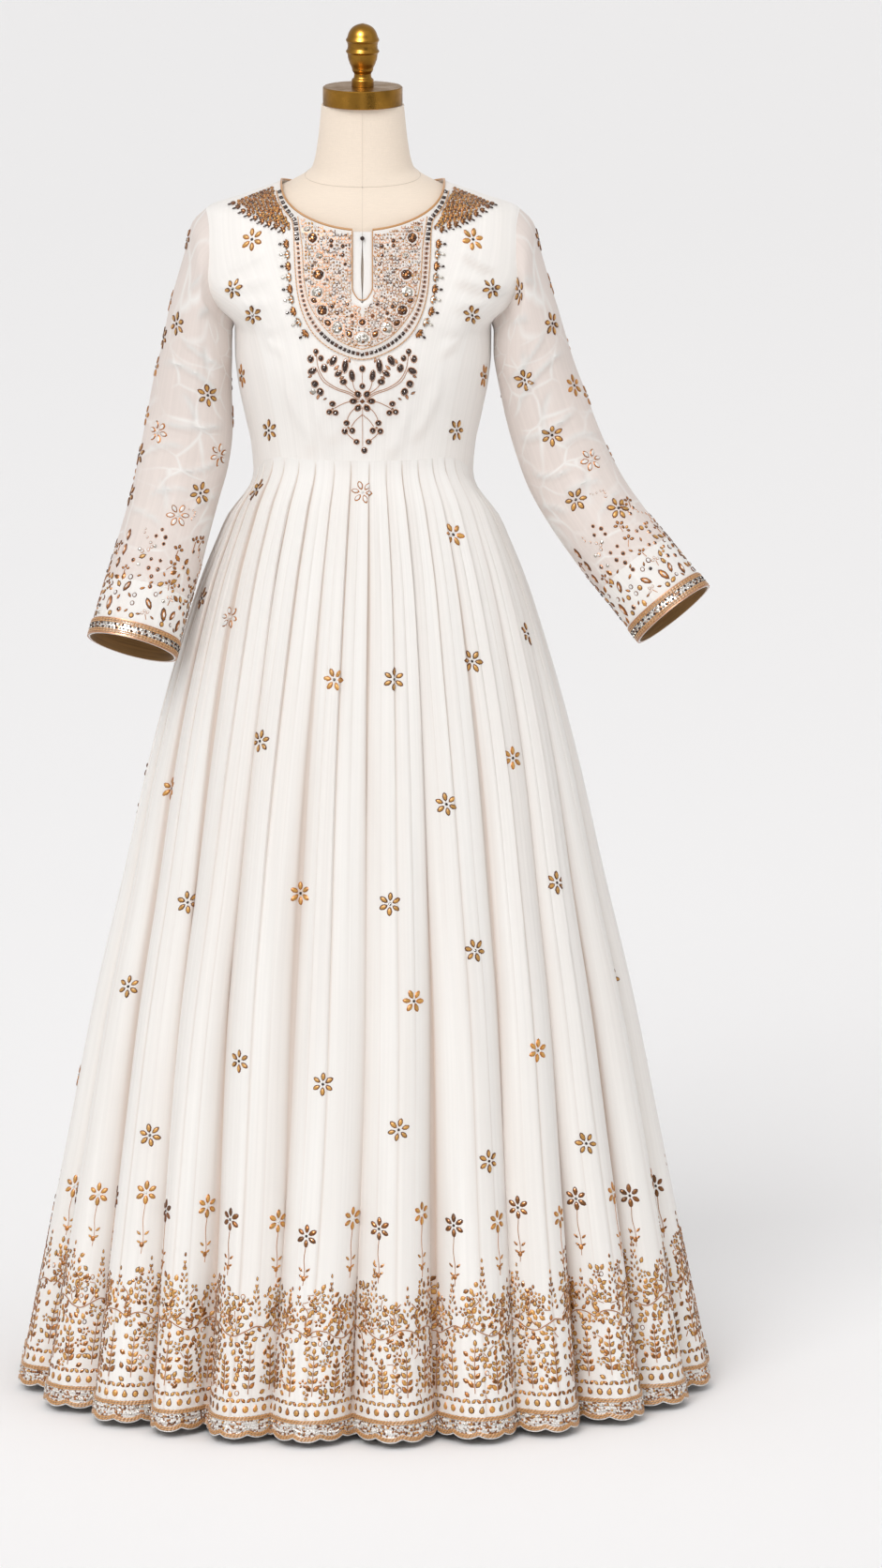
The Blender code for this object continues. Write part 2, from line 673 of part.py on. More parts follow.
def build_yoke(front, finish):
    """The embroidered bib round the slit, laid on the front's own facets."""
    shape = bmesh.new()
    shape.from_mesh(front.data)
    cloth = BVHTree.FromBMesh(shape)
    steps, across = 13, 4
    outer, inner = [], []
    side_top = neckline(YOKE_HALF_WIDTH, FRONT_NECK_DROP) - YOKE_MARGIN
    for t in np.linspace(0, 1, steps + 1):
        if t < 0.5:
            outer.append((YOKE_HALF_WIDTH, side_top + (YOKE_SIDE_FOOT - side_top) * t / 0.5))
        else:
            turn = (t - 0.5) * math.pi
            deep = YOKE_SIDE_FOOT - YOKE_FOOT
            outer.append((YOKE_HALF_WIDTH * math.cos(turn), YOKE_SIDE_FOOT - deep * math.sin(turn)))
        slit_side = SLIT_HALF_WIDTH + YOKE_MARGIN
        if t < 0.5:
            x = YOKE_NECK_REACH + (slit_side - YOKE_NECK_REACH) * t / 0.5
            inner.append((x, neckline(x, FRONT_NECK_DROP) - YOKE_MARGIN))
        else:
            top = neckline(slit_side, FRONT_NECK_DROP) - YOKE_MARGIN
            down = (t - 0.5) / 0.5
            x = slit_side * (1 - max(0.0, (down - 0.75) / 0.25))
            inner.append((x, top + (YOKE_SLIT_FOOT - top) * down))
    share = np.linspace(0, 1, across + 1)[:, None, None]
    flat = np.array(inner)[None] * (1 - share) + np.array(outer)[None] * share
    half = np.zeros((*flat.shape[:2], 3))
    for place in np.ndindex(flat.shape[:2]):
        x, z = flat[place]
        point, normal, *_ = cloth.ray_cast(Vector((x, -1.0, z)), Vector((0, 1, 0)))
        if point is None:
            raise RuntimeError(f"no cloth behind the bib at {x:.4f}, {z:.4f}")
        half[place] = point + YOKE_LIFT * (normal if normal.y < 0 else -normal)
    shape.free()
    half[:, -1, 0] = 0.0
    full = np.concatenate([half, mirrored(half)[:, 1:]], axis=1)
    sheet("yoke_applique", [full], finish, YOKE_THICKNESS, outward=1)


def sleeve_rings(rows, side):
    """Sections of a sleeve from the armhole down, 24 points each, as an array."""
    turns = np.radians(np.arange(0, 360, ARMHOLE_STEP))
    start = [armhole_point(degrees) for degrees in range(0, 360, ARMHOLE_STEP)]
    start = np.array(start) + np.array([SLEEVE_GAP, 0, 0])
    chord = (start[0, 0] + start[12, 0]) / 2 + (start[0, 0] - start[12, 0]) / 2 * np.cos(turns)
    bulge = start[:, 0] - chord
    rings = [start]
    for i in range(len(rows["lean"])):
        outer = np.array([rows["outer_x"][i], 0, rows["outer_z"][i]])
        inner = np.array([rows["inner_x"][i], 0, rows["inner_z"][i]])
        centre = (outer + inner) / 2 + np.array([0, rows["centre_y"][i], 0])
        half = (outer - inner) / 2
        out = half / np.linalg.norm(half)
        lean = math.radians(rows["lean"][i])
        # The axis runs down and outward, square to the section's width, then leans forward.
        down = np.array([out[2], 0, -out[0]]) * math.cos(lean) + np.array([0, -math.sin(lean), 0])
        front = np.cross(out, down)
        front *= -np.sign(front[1])
        ring = centre + np.cos(turns)[:, None] * half
        ring = ring + np.sin(turns)[:, None] * rows["half_depth"][i] * front
        if i < len(ARMHOLE_BULGE_LEFT):
            ring[:, 0] += ARMHOLE_BULGE_LEFT[i] * bulge
        rings.append(ring)
    rings = np.array(rings)
    rings[..., 0] *= side
    return rings


def build_sleeve(word, rows, side, cloth, cuff_cloth, trim):
    """Sleeve, cuff and the cuff's trim."""
    rings = sleeve_rings(rows, side)
    body = rings[:-1].copy()
    body[-1] += SEAM_INSET * unit(body[-2] - body[-1])
    middle = body[3:].mean((0, 1))
    sheet(f"sleeve_{word}", [body], cloth, SLEEVE_WALL, round_about=middle, closed=True)
    start, end = rings[-2], rings[-1]
    start = start + SEAM_INSET * unit(end - start)
    length = np.linalg.norm(end - start, axis=-1, keepdims=True)
    trim_top = end + (start - end) * CUFF_TRIM_HEIGHT / length
    cuff = np.array([start, trim_top, end])
    middle = cuff.mean((0, 1))
    sheet(f"cuff_{word}", [cuff], cuff_cloth, CUFF_WALL, round_about=middle, closed=True)
    band = moved_out(np.array([trim_top, end]), TRIM_LIFT * 1.3, closed=True)
    sheet(f"cuff_trim_{word}", [band], trim, TRIM_WALL, 1, round_about=middle, closed=True)


def unit(vector):
    return vector / np.linalg.norm(vector, axis=-1, keepdims=True)


def back_folds():
    """The folds round the back, of even width with depths that vary a little."""
    step = 180 / BACK_FOLD_COUNT
    rows = []
    for i in range(BACK_FOLD_COUNT):
        uneven = math.sin(2.1 * i) * 1.6 if i else 0.0
        near_side = i in (0, BACK_FOLD_COUNT - 1)
        angle = 90 + i * step
        depth = BACK_FOLD_DEPTH * (1 + 0.12 * math.sin(3.7 * i))
        rows.append((angle + uneven / 2, angle + uneven, depth, 1 if near_side else 2))
    return table("waist hem depth pleats", rows)


def fold_columns(folds, end):
    """Each column's angles at waist and hem, its place in its fold and its pleat, and its depth."""
    columns = []
    count = len(folds["waist"])
    for i in range(count):
        last = i == count - 1
        waist_to = end if last else folds["waist"][i + 1]
        hem_to = end if last else folds["hem"][i + 1]
        depth_to = folds["depth"][(i + 1) % count]
        pleats = int(folds["pleats"][i])
        steps = pleats * COLUMNS_PER_PLEAT[pleats]
        for k in range(steps + (1 if last else 0)):
            u = k / steps
            depth = folds["depth"][i] + (depth_to - folds["depth"][i]) * step_up(u)
            columns.append(
                (
                    folds["waist"][i] + (waist_to - folds["waist"][i]) * u,
                    folds["hem"][i] + (hem_to - folds["hem"][i]) * u,
                    u,
                    (u * pleats) % 1.0,
                    depth,
                )
            )
    return table("waist hem in_fold in_pleat depth", columns)


def skirt_grid(columns, rows):
    """The skirt's outer surface, from the waist seam to the hem."""
    grid = []
    for drop in rows:
        angle = columns["waist"] + (columns["hem"] - columns["waist"]) * drop**0.7
        sizes = [float(smooth(drop, SKIRT["drop"], SKIRT[name])) for name in ("half_width", "front", "back")]
        x, y = oval(angle, *sizes, 0.005, SKIRT_ROUNDNESS)
        top = waist_height(np.where(np.abs(columns["waist"]) > 90, 90, columns["waist"]))
        start = gown_point(columns["waist"], top)
        seam = step_up(1 - drop / 0.06)
        x = x * (1 - seam) + start[:, 0] * seam + (x - start[:, 0]) * seam * drop / 0.06
        y = y * (1 - seam) + start[:, 1] * seam + (y - start[:, 1]) * seam * drop / 0.06
        z = top + (HEM_HEIGHT - top) * drop
        turned = np.radians(angle)
        depth = np.where(np.cos(turned) > 0, sizes[1], sizes[2])
        out = unit(np.stack([np.sin(turned) / sizes[0], -np.cos(turned) / depth], -1))
        pleat = np.sin(math.pi * columns["in_pleat"]) ** 0.9
        pleated = (0.25 + 0.75 * step_up(drop / 0.05)) * (1 - step_up(drop / 0.8))
        valley = np.abs(2 * columns["in_fold"] - 1) ** 2.4
        shift = PLEAT_DEPTH * pleated * pleat - columns["depth"] * drop**1.1 * valley
        grid.append(np.stack([x + out[:, 0] * shift, y + out[:, 1] * shift, z], -1))
    return np.array(grid)


def build_skirt(cloth, trim):
    """Front and back of the skirt, each with its scalloped border."""
    fall = WAIST_SIDE - HEM_HEIGHT
    rows = [1 - HEM_BORDER_HEIGHT / fall if drop is None else drop for drop in SKIRT_ROWS]
    for word, folds, end in (("front", FRONT_FOLDS, 90), ("back", back_folds(), 270)):
        columns = fold_columns(folds, end)
        grid = skirt_grid(columns, rows)
        grid = draw_back(grid, "left right top")
        grid[0, :, 2] -= 2 * SEAM_INSET
        sheet(f"skirt_{word}", [grid], cloth, SKIRT_WALL)
        band = lift_off(grid[-2:], TRIM_LIFT)
        band[1, ::2] += SCALLOP_DEPTH * unit(band[1, ::2] - band[0, ::2])
        sheet(f"hem_border_{word}", [band], trim, TRIM_WALL, outward=1)


def lift_off(band, by):
    """A two-row band moved off the cloth under it, square to each facet beside every point."""
    low, high = band[0], band[1]
    way = np.diff(high, axis=0)
    up = low - high
    normal = unit(np.cross(way, up[:-1]))
    flat = np.concatenate([normal[:1], normal, normal[-1:]])
    mean = unit(flat[:-1] + flat[1:])
    stretch = 1 / np.clip((mean * flat[1:]).sum(-1, keepdims=True), 0.4, 1)
    outward = mean * by * stretch
    radial = high * np.array([1.0, 1, 0])
    if (outward * radial).sum() < 0:
        outward = -outward
    return np.array([low + outward, high + outward])


def build_form(cloth, brass, metal):
    """The limbless form, its brass cap and finial, and the stand."""
    heights = TORSO["height"] - FORM_DROP
    shoulder = heights[TORSO["height"] > ARMHOLE_TOP - 0.02]
    heights = np.sort(np.concatenate([heights, (shoulder[1:-2] + shoulder[:-3]) / 2]))
    angles = np.linspace(0, 360, 28, endpoint=False)
    shape = bmesh.new()
    rings = []
    for height in heights:
        at = height + FORM_DROP
        sizes = [
            torso("form_width", at),
            torso("front", at) - FORM_CLEARANCE,
            torso("back", at) - FORM_BACK_CLEARANCE,
            torso("centre_y", at),
            torso("squareness", at),
        ]
        x, y = oval(angles, *sizes)
        rings.append([shape.verts.new((a, b, height)) for a, b in zip(x, y)])
    close_rings(shape, rings)
    new_object("form_torso", shape, cloth)
    edge = 0.0012
    lathe(
        "neck_cap",
        (CAP_RADIUS - edge, CAP_RADIUS, CAP_RADIUS, CAP_RADIUS - edge),
        (CAP_BOTTOM, CAP_BOTTOM + edge, CAP_TOP - edge, CAP_TOP),
        brass,
        sides=32,
    )
    radii = np.append(FINIAL_PROFILE["radius"], 0.0020)
    lathe("finial", radii, np.append(FINIAL_PROFILE["height"], FINIAL_TOP), brass, sides=14)
    form_foot = heights[0]
    pole_ends = (BASE_HEIGHT + GAP, form_foot - GAP)
    lathe("stand_pole", (POLE_RADIUS, POLE_RADIUS), pole_ends, metal)
    rim = 0.003
    lathe(
        "stand_base",
        (BASE_RADIUS, BASE_RADIUS, BASE_RADIUS - rim),
        (0, BASE_HEIGHT - rim, BASE_HEIGHT),
        metal,
        sides=40,
    )


def main():
    for old in list(bpy.data.objects):
        bpy.data.objects.remove(old)
    white = material("white_georgette", (0.88, 0.86, 0.82), 0.85)
    sheer = material("sheer_georgette", (0.85, 0.80, 0.76), 0.80)
    lined = material("lined_cuff_cloth", (0.90, 0.88, 0.84), 0.85)
    gold = material("gold_thread_trim", (0.52, 0.33, 0.18), 0.55)
    bead = material("dark_bronze_bead", (0.10, 0.05, 0.03), 0.25)
    linen = material("linen_form_cover", (0.86, 0.77, 0.67), 0.90)
    brass = material("brushed_brass", (0.50, 0.33, 0.11), 0.35, 1.0)
    steel = material("painted_steel", (0.80, 0.78, 0.74), 0.45)
    build_form(linen, brass, steel)
    front, _ = build_bodice(white)
    build_plackets(white)
    build_button(bead)
    build_neck_binding(gold)
    build_yoke(front, gold)
    build_sleeve("right", RIGHT_SLEEVE, -1, sheer, lined, gold)
    build_sleeve("left", LEFT_SLEEVE, 1, sheer, lined, gold)
    build_skirt(white, gold)


main()
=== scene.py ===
"""Anarkali gown on a limbless dress form: its finished pieces, its materials, the stage and camera.

Metres, +Z up. The front faces -Y, and the wearer's right side is at -X, as in the frame.
"""

import functools
import math
import random

import bmesh
import bpy
import numpy as np
from bpy.props import FloatProperty, FloatVectorProperty, IntProperty, PointerProperty
from mathutils import Matrix, Vector


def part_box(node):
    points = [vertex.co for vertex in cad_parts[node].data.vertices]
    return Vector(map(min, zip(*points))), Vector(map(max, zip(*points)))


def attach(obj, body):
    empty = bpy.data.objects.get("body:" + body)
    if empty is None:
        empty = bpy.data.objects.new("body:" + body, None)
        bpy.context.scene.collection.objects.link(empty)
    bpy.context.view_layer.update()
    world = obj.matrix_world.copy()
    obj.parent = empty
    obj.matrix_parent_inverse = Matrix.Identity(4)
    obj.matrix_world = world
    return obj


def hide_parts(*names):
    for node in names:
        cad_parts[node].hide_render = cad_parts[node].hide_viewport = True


bl_info = {
    "name": "Anarkali gown",
    "version": (1, 0, 0),
    "blender": (4, 5, 0),
    "location": "3D View > Sidebar > Gown",
    "description": "Builds the cloth, embroidery and dress form of an anarkali gown",
    "category": "Object",
}

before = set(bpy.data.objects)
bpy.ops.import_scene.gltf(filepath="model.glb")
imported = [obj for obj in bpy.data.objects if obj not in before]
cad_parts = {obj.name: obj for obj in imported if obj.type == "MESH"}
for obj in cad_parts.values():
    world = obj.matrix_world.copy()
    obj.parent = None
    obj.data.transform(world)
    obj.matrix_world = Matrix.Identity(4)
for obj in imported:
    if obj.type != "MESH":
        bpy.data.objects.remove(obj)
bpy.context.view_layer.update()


# Sizes and colours


def linear(code):
    """An sRGB hex colour as linear light."""
    parts = [int(code[i : i + 2], 16) / 255 for i in (1, 3, 5)]
    return tuple(v / 12.92 if v <= 0.04045 else ((v + 0.055) / 1.055) ** 2.4 for v in parts)


def length(name, description, default):
    return FloatProperty(name=name, description=description, default=default, unit="LENGTH", precision=4)


def colour(name, description, code):
    return FloatVectorProperty(
        name=name, description=description, default=linear(code), subtype="COLOR", size=3, min=0, max=1
    )


def strength(name, description, default):
    return FloatProperty(name=name, description=description, default=default, min=0)


class GownSizes(bpy.types.PropertyGroup):
    """Sizes of the gown that a user may change."""

    cloth: length("Cloth thickness", "Thickness of each layer of cloth", 0.0008)
    crease: strength("Creases", "Strength of the soft creases", 1.3)
    pleat: length("Pleat depth", "Depth of the small pleats under the waist seam", 0.0065)
    piping: length("Piping radius", "Radius of the piping round neck and slit", 0.0013)
    scallop: length("Scallop width", "Width of one scallop of the hem", 0.0325)
    scallop_depth: length("Scallop depth", "How far each scallop hangs below its ends", 0.0045)
    panel: length("Hem repeat", "Width of one repeat of the hem embroidery", 0.092)
    petal: length("Flower petal", "Length of a scattered flower's petal", 0.0115)
    seed: IntProperty(name="Handwork seed", description="Changes the unevenness of the stitching", default=7)


class GownColours(bpy.types.PropertyGroup):
    """Colours of the gown and its form."""

    ivory: colour("Ivory georgette", "Lined cloth of bodice and skirt", "#EBE8E4")
    # Painted shade: the colour that the georgettes are darkened towards in the skirt's fold valleys and
    # pleat laps and on the bodice's crease flanks.
    valley: colour("Fold depth", "The warm tone deep in the skirt's folds", "#C3AE9F")
    sheer: colour("Sheer georgette", "Single layer of the sleeves", "#E8DCD5")
    lining: colour("Cuff lining", "Bronze lining inside the cuffs", "#9A7445")
    tan: colour("Tan cord", "Couched cord of the borders", "#C08C54")
    gold: colour("Gold thread", "Filling of leaves and petals", "#A3672A")
    brown: colour("Brown thread", "Outline of leaves and petals", "#63350F")
    pale: colour("Pale gold thread", "Fillings of the small leaves", "#BE8D48")
    rose: colour("Rose gold thread", "Fine filigree of the yoke", "#B78562")
    bead: colour("Dark bead", "Faceted dark bronze beads", "#2A1509")
    silver: colour("Silver bead", "Silver stones and seed beads", "#C8C1B6")
    linen: colour("Form cover", "Linen cover of the dress form", "#E9DAC9")
    brass: colour("Brass", "Neck cap and finial", "#8A6428")
    steel: colour("Stand paint", "Cream paint of pole and base", "#E4E0D8")


class GownStage(bpy.types.PropertyGroup):
    """Light and backdrop."""

    paper: colour("Backdrop", "Pale paper of the floor", "#F9F8F8")
    key: strength("Key light", "Strength of the large soft light", 1.3)
    fill: strength("Fill light", "Strength of the light from the other side", 0.22)
    surround: strength("Surround", "Strength of the even light", 0.73)
    glint: strength("Catch light", "Strength of the small light seen in beads", 9.0)


def sizes():
    return bpy.context.scene.gown_sizes


# The gown's own surfaces. These are the frame's sections, sampled finer.

WAIST_FRONT, WAIST_SIDE = 1.137, 1.105
PRINCESS_AT_WAIST, BACK_SEAM_AT_WAIST = 0.0956, 0.092
NECK_HALF_WIDTH, NECK_POINT_HEIGHT = 0.0964, 1.452
FRONT_NECK_DROP, BACK_NECK_DROP, NECK_ROUNDNESS = 0.0453, 0.018, 1.85
ARMHOLE_TOP, ARMHOLE_BOTTOM = 1.42, 1.284
BODICE_FOOT, BODICE_LENGTH = 1.095, 0.36
ARMHOLE_FRONT_DEPTH, ARMHOLE_BACK_DEPTH = 0.05, 0.055
ARMHOLE_STEP, ARMHOLE_SEAM_STEP = 15, 7
ARMHOLE_BULGE_LEFT = (0.85, 0.55, 0.25)
SLIT_HALF_WIDTH, SLIT_FOOT, SLIT_POINT = 0.0118, 1.3265, 0.018
HEM_HEIGHT, HEM_BORDER_HEIGHT = 0.0125, 0.022
SKIRT_ROUNDNESS = 2.05
FINE = 5  # the frame's steps, each cut in this many
SLEEVE_ROWS, CUFF_ROWS = 84, 20
HEM_MARGIN, CUFF_TRIM_HEIGHT, GAP, BUTTON_RADIUS, SLIT_PIPING = 0.01, 0.019, 0.0003, 0.0026, 0.0007
YOKE_LIFT, PENDANT_HEIGHT = 0.0011, 1.212
FORM_CLEARANCE, FORM_BACK_CLEARANCE, FORM_DROP = 0.0071, 0.0075, 0.0016
FORM_SEAM_HEIGHT, FORM_SEAM_DROP = 1.472, 0.018
CAP_RADIUS, CAP_BOTTOM, CAP_TOP = 0.0467, 1.5437, 1.5651
BASE_RADIUS, BASE_HEIGHT, POLE_RADIUS = 0.16, 0.012, 0.0125
BRAID_STEP, BRAID_LIFT, TRIM_WALL, SPRAY_STEP = 0.0026, 0.0009, 0.0007, 0.069
CAMERA_PLACE, CAMERA_DIP, CAMERA_LENS = (0.091667, -12, 3.3), 12.085, 237.5
AXIS = np.array([0.0, 0.005, 0.0])
MIRROR = np.array([-1.0, 1.0, 1.0])
SIDES = (("left", 1), ("right", -1))
HALVES = (("front", False), ("back", True))


def table(names, rows):
    """Rows of numbers as named columns."""
    return {name: np.array(column, float) for name, column in zip(names.split(), zip(*rows))}


# Sections of the torso. gown_width is the cloth's half width, which runs on over the armhole.
TORSO = table(
    "height form_width gown_width front back centre_y squareness",
    [
        (0.8, 0.148, 0.15, 0.098, 0.108, 0.006, 2.1), (0.86, 0.157, 0.16, 0.103, 0.114, 0.006, 2.1),
        (0.93, 0.155, 0.158, 0.103, 0.112, 0.006, 2.1), (1.0, 0.146, 0.148, 0.1, 0.102, 0.006, 2.1),
        (1.06, 0.133, 0.136, 0.0965, 0.092, 0.005, 2.12),
        (1.105, 0.1262, 0.1296, 0.0955, 0.087, 0.005, 2.15),
        (1.14, 0.1283, 0.132, 0.0995, 0.0875, 0.005, 2.15),
        (1.176, 0.1357, 0.1394, 0.1085, 0.0905, 0.005, 2.15),
        (1.219, 0.144, 0.1477, 0.1235, 0.0955, 0.005, 2.15),
        (1.25, 0.147, 0.1507, 0.1305, 0.0985, 0.005, 2.15),
        (1.284, 0.1465, 0.151, 0.1275, 0.1015, 0.005, 2.2), (1.31, 0.149, 0.176, 0.12, 0.104, 0.005, 2.3),
        (1.335, 0.154, 0.192, 0.1115, 0.105, 0.005, 2.35),
        (1.352, 0.1585, 0.196, 0.106, 0.104, 0.005, 2.35), (1.38, 0.168, 0.195, 0.0975, 0.099, 0.005, 2.3),
        (1.4067, 0.1765, 0.189, 0.0885, 0.092, 0.005, 2.15),
        (1.42, 0.1775, 0.184, 0.082, 0.086, 0.005, 2.0), (1.436, 0.1365, 0.141, 0.0745, 0.0785, 0.005, 2.0),
        (1.452, 0.089, 0.0964, 0.066, 0.07, 0.005, 2.0), (1.472, 0.0592, 0.06, 0.06, 0.0635, 0.005, 2.0),
        (1.5, 0.053, 0.054, 0.0535, 0.055, 0.004, 2.0), (1.545, 0.0482, 0.049, 0.0485, 0.0495, 0.003, 2.0),
    ],
)

# The seams between the front or back and the side panels, below the armhole.
PRINCESS_SEAM = table(
    "height half_width",
    [(1.137, PRINCESS_AT_WAIST), (1.21, 0.1067), (1.26, 0.117), (1.294, 0.128), (1.318, 0.148)],
)
BACK_SEAM = table(
    "height half_width",
    [(1.105, BACK_SEAM_AT_WAIST), (1.21, 0.105), (1.26, 0.115), (1.294, 0.127), (1.318, 0.147)],
)

# Sections of each sleeve: the section's outer and inner points seen from the front, its centre's
# y, its half depth, and how far it leans forward. x is measured outward from the gown's centre.
SLEEVE_COLUMNS = "outer_x outer_z inner_x inner_z centre_y half_depth lean"
RIGHT_SLEEVE = table(
    SLEEVE_COLUMNS,
    [
        (0.199, 1.405, 0.153, 1.278, 0.004, 0.053, 0), (0.2095, 1.368, 0.1532, 1.269, 0.003, 0.0555, 0),
        (0.223, 1.321, 0.1534, 1.257, 0.002, 0.0555, 0), (0.2352, 1.266, 0.1536, 1.24, 0.0, 0.052, 2),
        (0.2465, 1.219, 0.1536, 1.196, -0.002, 0.049, 4), (0.2545, 1.178, 0.1545, 1.155, -0.005, 0.048, 8),
        (0.2625, 1.136, 0.1605, 1.113, -0.01, 0.047, 12), (0.27, 1.099, 0.17, 1.0765, -0.018, 0.046, 16),
        (0.279, 1.067, 0.1785, 1.043, -0.027, 0.045, 20), (0.29, 1.031, 0.1895, 1.004, -0.04, 0.0445, 23),
        (0.3037, 0.988, 0.203, 0.96, -0.057, 0.044, 25), (0.322, 0.927, 0.221, 0.8985, -0.083, 0.0435, 25),
    ],
)
LEFT_SLEEVE = table(
    SLEEVE_COLUMNS,
    [
        (0.199, 1.405, 0.153, 1.278, 0.004, 0.053, 0), (0.2095, 1.368, 0.1532, 1.269, 0.003, 0.0555, 0),
        (0.223, 1.321, 0.1534, 1.257, 0.002, 0.0555, 0), (0.237, 1.275, 0.1542, 1.241, 0.0, 0.052, 0),
        (0.249, 1.237, 0.159, 1.21, 0.0, 0.05, 2), (0.2613, 1.2046, 0.1665, 1.1754, -0.001, 0.0485, 4),
        (0.2755, 1.1653, 0.1805, 1.1307, -0.004, 0.048, 8),
        (0.2903, 1.1306, 0.1977, 1.0854, -0.009, 0.0475, 12),
        (0.3086, 1.0993, 0.2214, 1.0427, -0.017, 0.0465, 15),
        (0.329, 1.072, 0.247, 1.008, -0.028, 0.0455, 17), (0.36, 1.036, 0.2803, 0.969, -0.043, 0.044, 18),
        (0.4053, 0.9822, 0.3257, 0.9154, -0.065, 0.0435, 18),
    ],
)

# The skirt's outline over its drop, from 0 at the waist seam to 1 at the hem.
SKIRT = table(
    "drop half_width front back",
    [
        (0.0, 0.1296, 0.0955, 0.087), (0.015, 0.14, 0.103, 0.096), (0.031, 0.149, 0.11, 0.103),
        (0.065, 0.165, 0.121, 0.115), (0.119, 0.1895, 0.137, 0.132), (0.194, 0.2165, 0.158, 0.155),
        (0.304, 0.2502, 0.186, 0.186), (0.451, 0.2879, 0.219, 0.224), (0.576, 0.3212, 0.243, 0.253),
        (0.744, 0.3583, 0.274, 0.289), (0.9, 0.3925, 0.302, 0.32), (1.0, 0.415, 0.32, 0.34),
    ],
)

# The folds round the skirt, from the left side seam (-90) over the front. Each row gives where a
# fold starts at the waist and at the hem in degrees, its depth at the hem, and its pleats.
FRONT_FOLDS = table(
    "waist hem depth pleats",
    [
        (-90, -90, 0.036, 1), (-81, -73, 0.04, 1), (-70, -55, 0.042, 2), (-52, -39.4, 0.038, 2),
        (-33, -28.8, 0.044, 2), (-13, -15.7, 0.036, 2), (3, -1.2, 0.04, 2), (19, 12.5, 0.044, 2),
        (37, 27, 0.04, 2), (54, 41, 0.042, 2), (70, 57, 0.038, 1), (81, 74, 0.04, 1),
    ],
)
BACK_FOLD_COUNT = 12
BACK_FOLD_DEPTH = 0.04
COLUMNS_PER_PLEAT = {1: 24, 2: 16}
PRINCESS_ROWS, SLEEVE_FINE, SKIRT_ROWS = 5, 4, 60


FINIAL_PROFILE = table(
    "radius height",
    [
        (0.013, 1.5654), (0.013, 1.5725), (0.0102, 1.5765), (0.01, 1.58), (0.0122, 1.584), (0.0126, 1.5865),
        (0.0152, 1.5925), (0.0171, 1.599), (0.0178, 1.6036), (0.0196, 1.6064), (0.0178, 1.6096),
        (0.0174, 1.613), (0.018, 1.6166), (0.0196, 1.6197), (0.018, 1.6232), (0.0165, 1.628),
        (0.0125, 1.634), (0.0062, 1.6378),
    ],
)
FINIAL_TOP = 1.6392


def smooth(at, xs, ys):
    """A curve through the rows with no overshoot between them."""
    step = np.diff(xs)
    slope = np.diff(ys) / step
    tangent = np.zeros(len(xs))
    same = slope[:-1] * slope[1:] > 0
    near, far = step[:-1] + 2 * step[1:], 2 * step[:-1] + step[1:]
    with np.errstate(divide="ignore", invalid="ignore"):
        mean = (near + far) / (near / slope[:-1] + far / slope[1:])
    tangent[1:-1] = np.where(same, mean, 0)
    tangent[0], tangent[-1] = slope[0], slope[-1]
    at = np.clip(np.asarray(at, float), xs[0], xs[-1])
    i = np.clip(np.searchsorted(xs, at, "right") - 1, 0, len(xs) - 2)
    t = (at - xs[i]) / step[i]
    return (
        ys[i] * (1 + 2 * t) * (1 - t) ** 2
        + ys[i + 1] * t**2 * (3 - 2 * t)
        + step[i] * (tangent[i] * t * (1 - t) ** 2 - tangent[i + 1] * t**2 * (1 - t))
    )


def step_up(t):
    """0 below 0, 1 above 1, and a soft rise between."""
    t = np.clip(t, 0, 1)
    return t * t * (3 - 2 * t)


def signed_power(value, power):
    return np.sign(value) * np.abs(value) ** power


def oval(angle, half_width, front, back, centre_y, squareness):
    """x and y on a section at angles in degrees from the front, positive towards +X."""
    angle = np.radians(angle)
    cosine = np.cos(angle)
    depth = np.where(cosine > 0, front, back)
    x = half_width * signed_power(np.sin(angle), 2 / squareness)
    return x, centre_y - depth * signed_power(cosine, 2 / squareness)


def torso(column, height):
    return smooth(height, TORSO["height"], TORSO[column])


def gown_point(angle, height):
    """The bodice's outer surface, by angle and height."""
    sizes = [torso(name, height) for name in ("gown_width", "front", "back", "centre_y", "squareness")]
    x, y = oval(angle, *sizes)
    return np.stack([x, y, np.broadcast_to(height, np.shape(x))], -1)


def angle_at(x, height, back=False):
    """The angle where the section at this height has this x."""
    ratio = np.clip(x / torso("gown_width", height), 0, 1)
    angle = np.degrees(np.arcsin(ratio ** (torso("squareness", height) / 2)))
    return 180 - angle if back else angle


def ridge(x):
    """The height of the shoulder line at this x, up to the neck point."""
    heights = np.linspace(ARMHOLE_TOP, 1.6, 361)
    widths = torso("gown_width", heights)
    return np.minimum(np.interp(np.abs(x), widths[::-1], heights[::-1]), NECK_POINT_HEIGHT)


def on_bodice(x, height, back=False):
    """The points of the front or back at these x and heights."""
    height = np.asarray(height, float)
    squareness = torso("squareness", height)
    ratio = np.clip(np.abs(x) / torso("gown_width", height), 0, 1)
    reach = torso("back" if back else "front", height) * (1 - ratio**squareness) ** (1 / squareness)
    y = torso("centre_y", height) + (reach if back else -reach)
    return np.stack([np.broadcast_to(x, np.shape(y)), y, np.broadcast_to(height, np.shape(y))], -1)


def rise(x, height):
    """How far up the bodice a height is, from 0 under the waist to its length at the shoulder line."""
    share = np.clip((height - BODICE_FOOT) / (ridge(x) - BODICE_FOOT), 0, 1)
    return BODICE_LENGTH * (1 - np.sqrt(1 - share))


def risen(x, up):
    """The height at which the bodice's rise is this."""
    return BODICE_FOOT + (ridge(x) - BODICE_FOOT) * (1 - (1 - up / BODICE_LENGTH) ** 2)


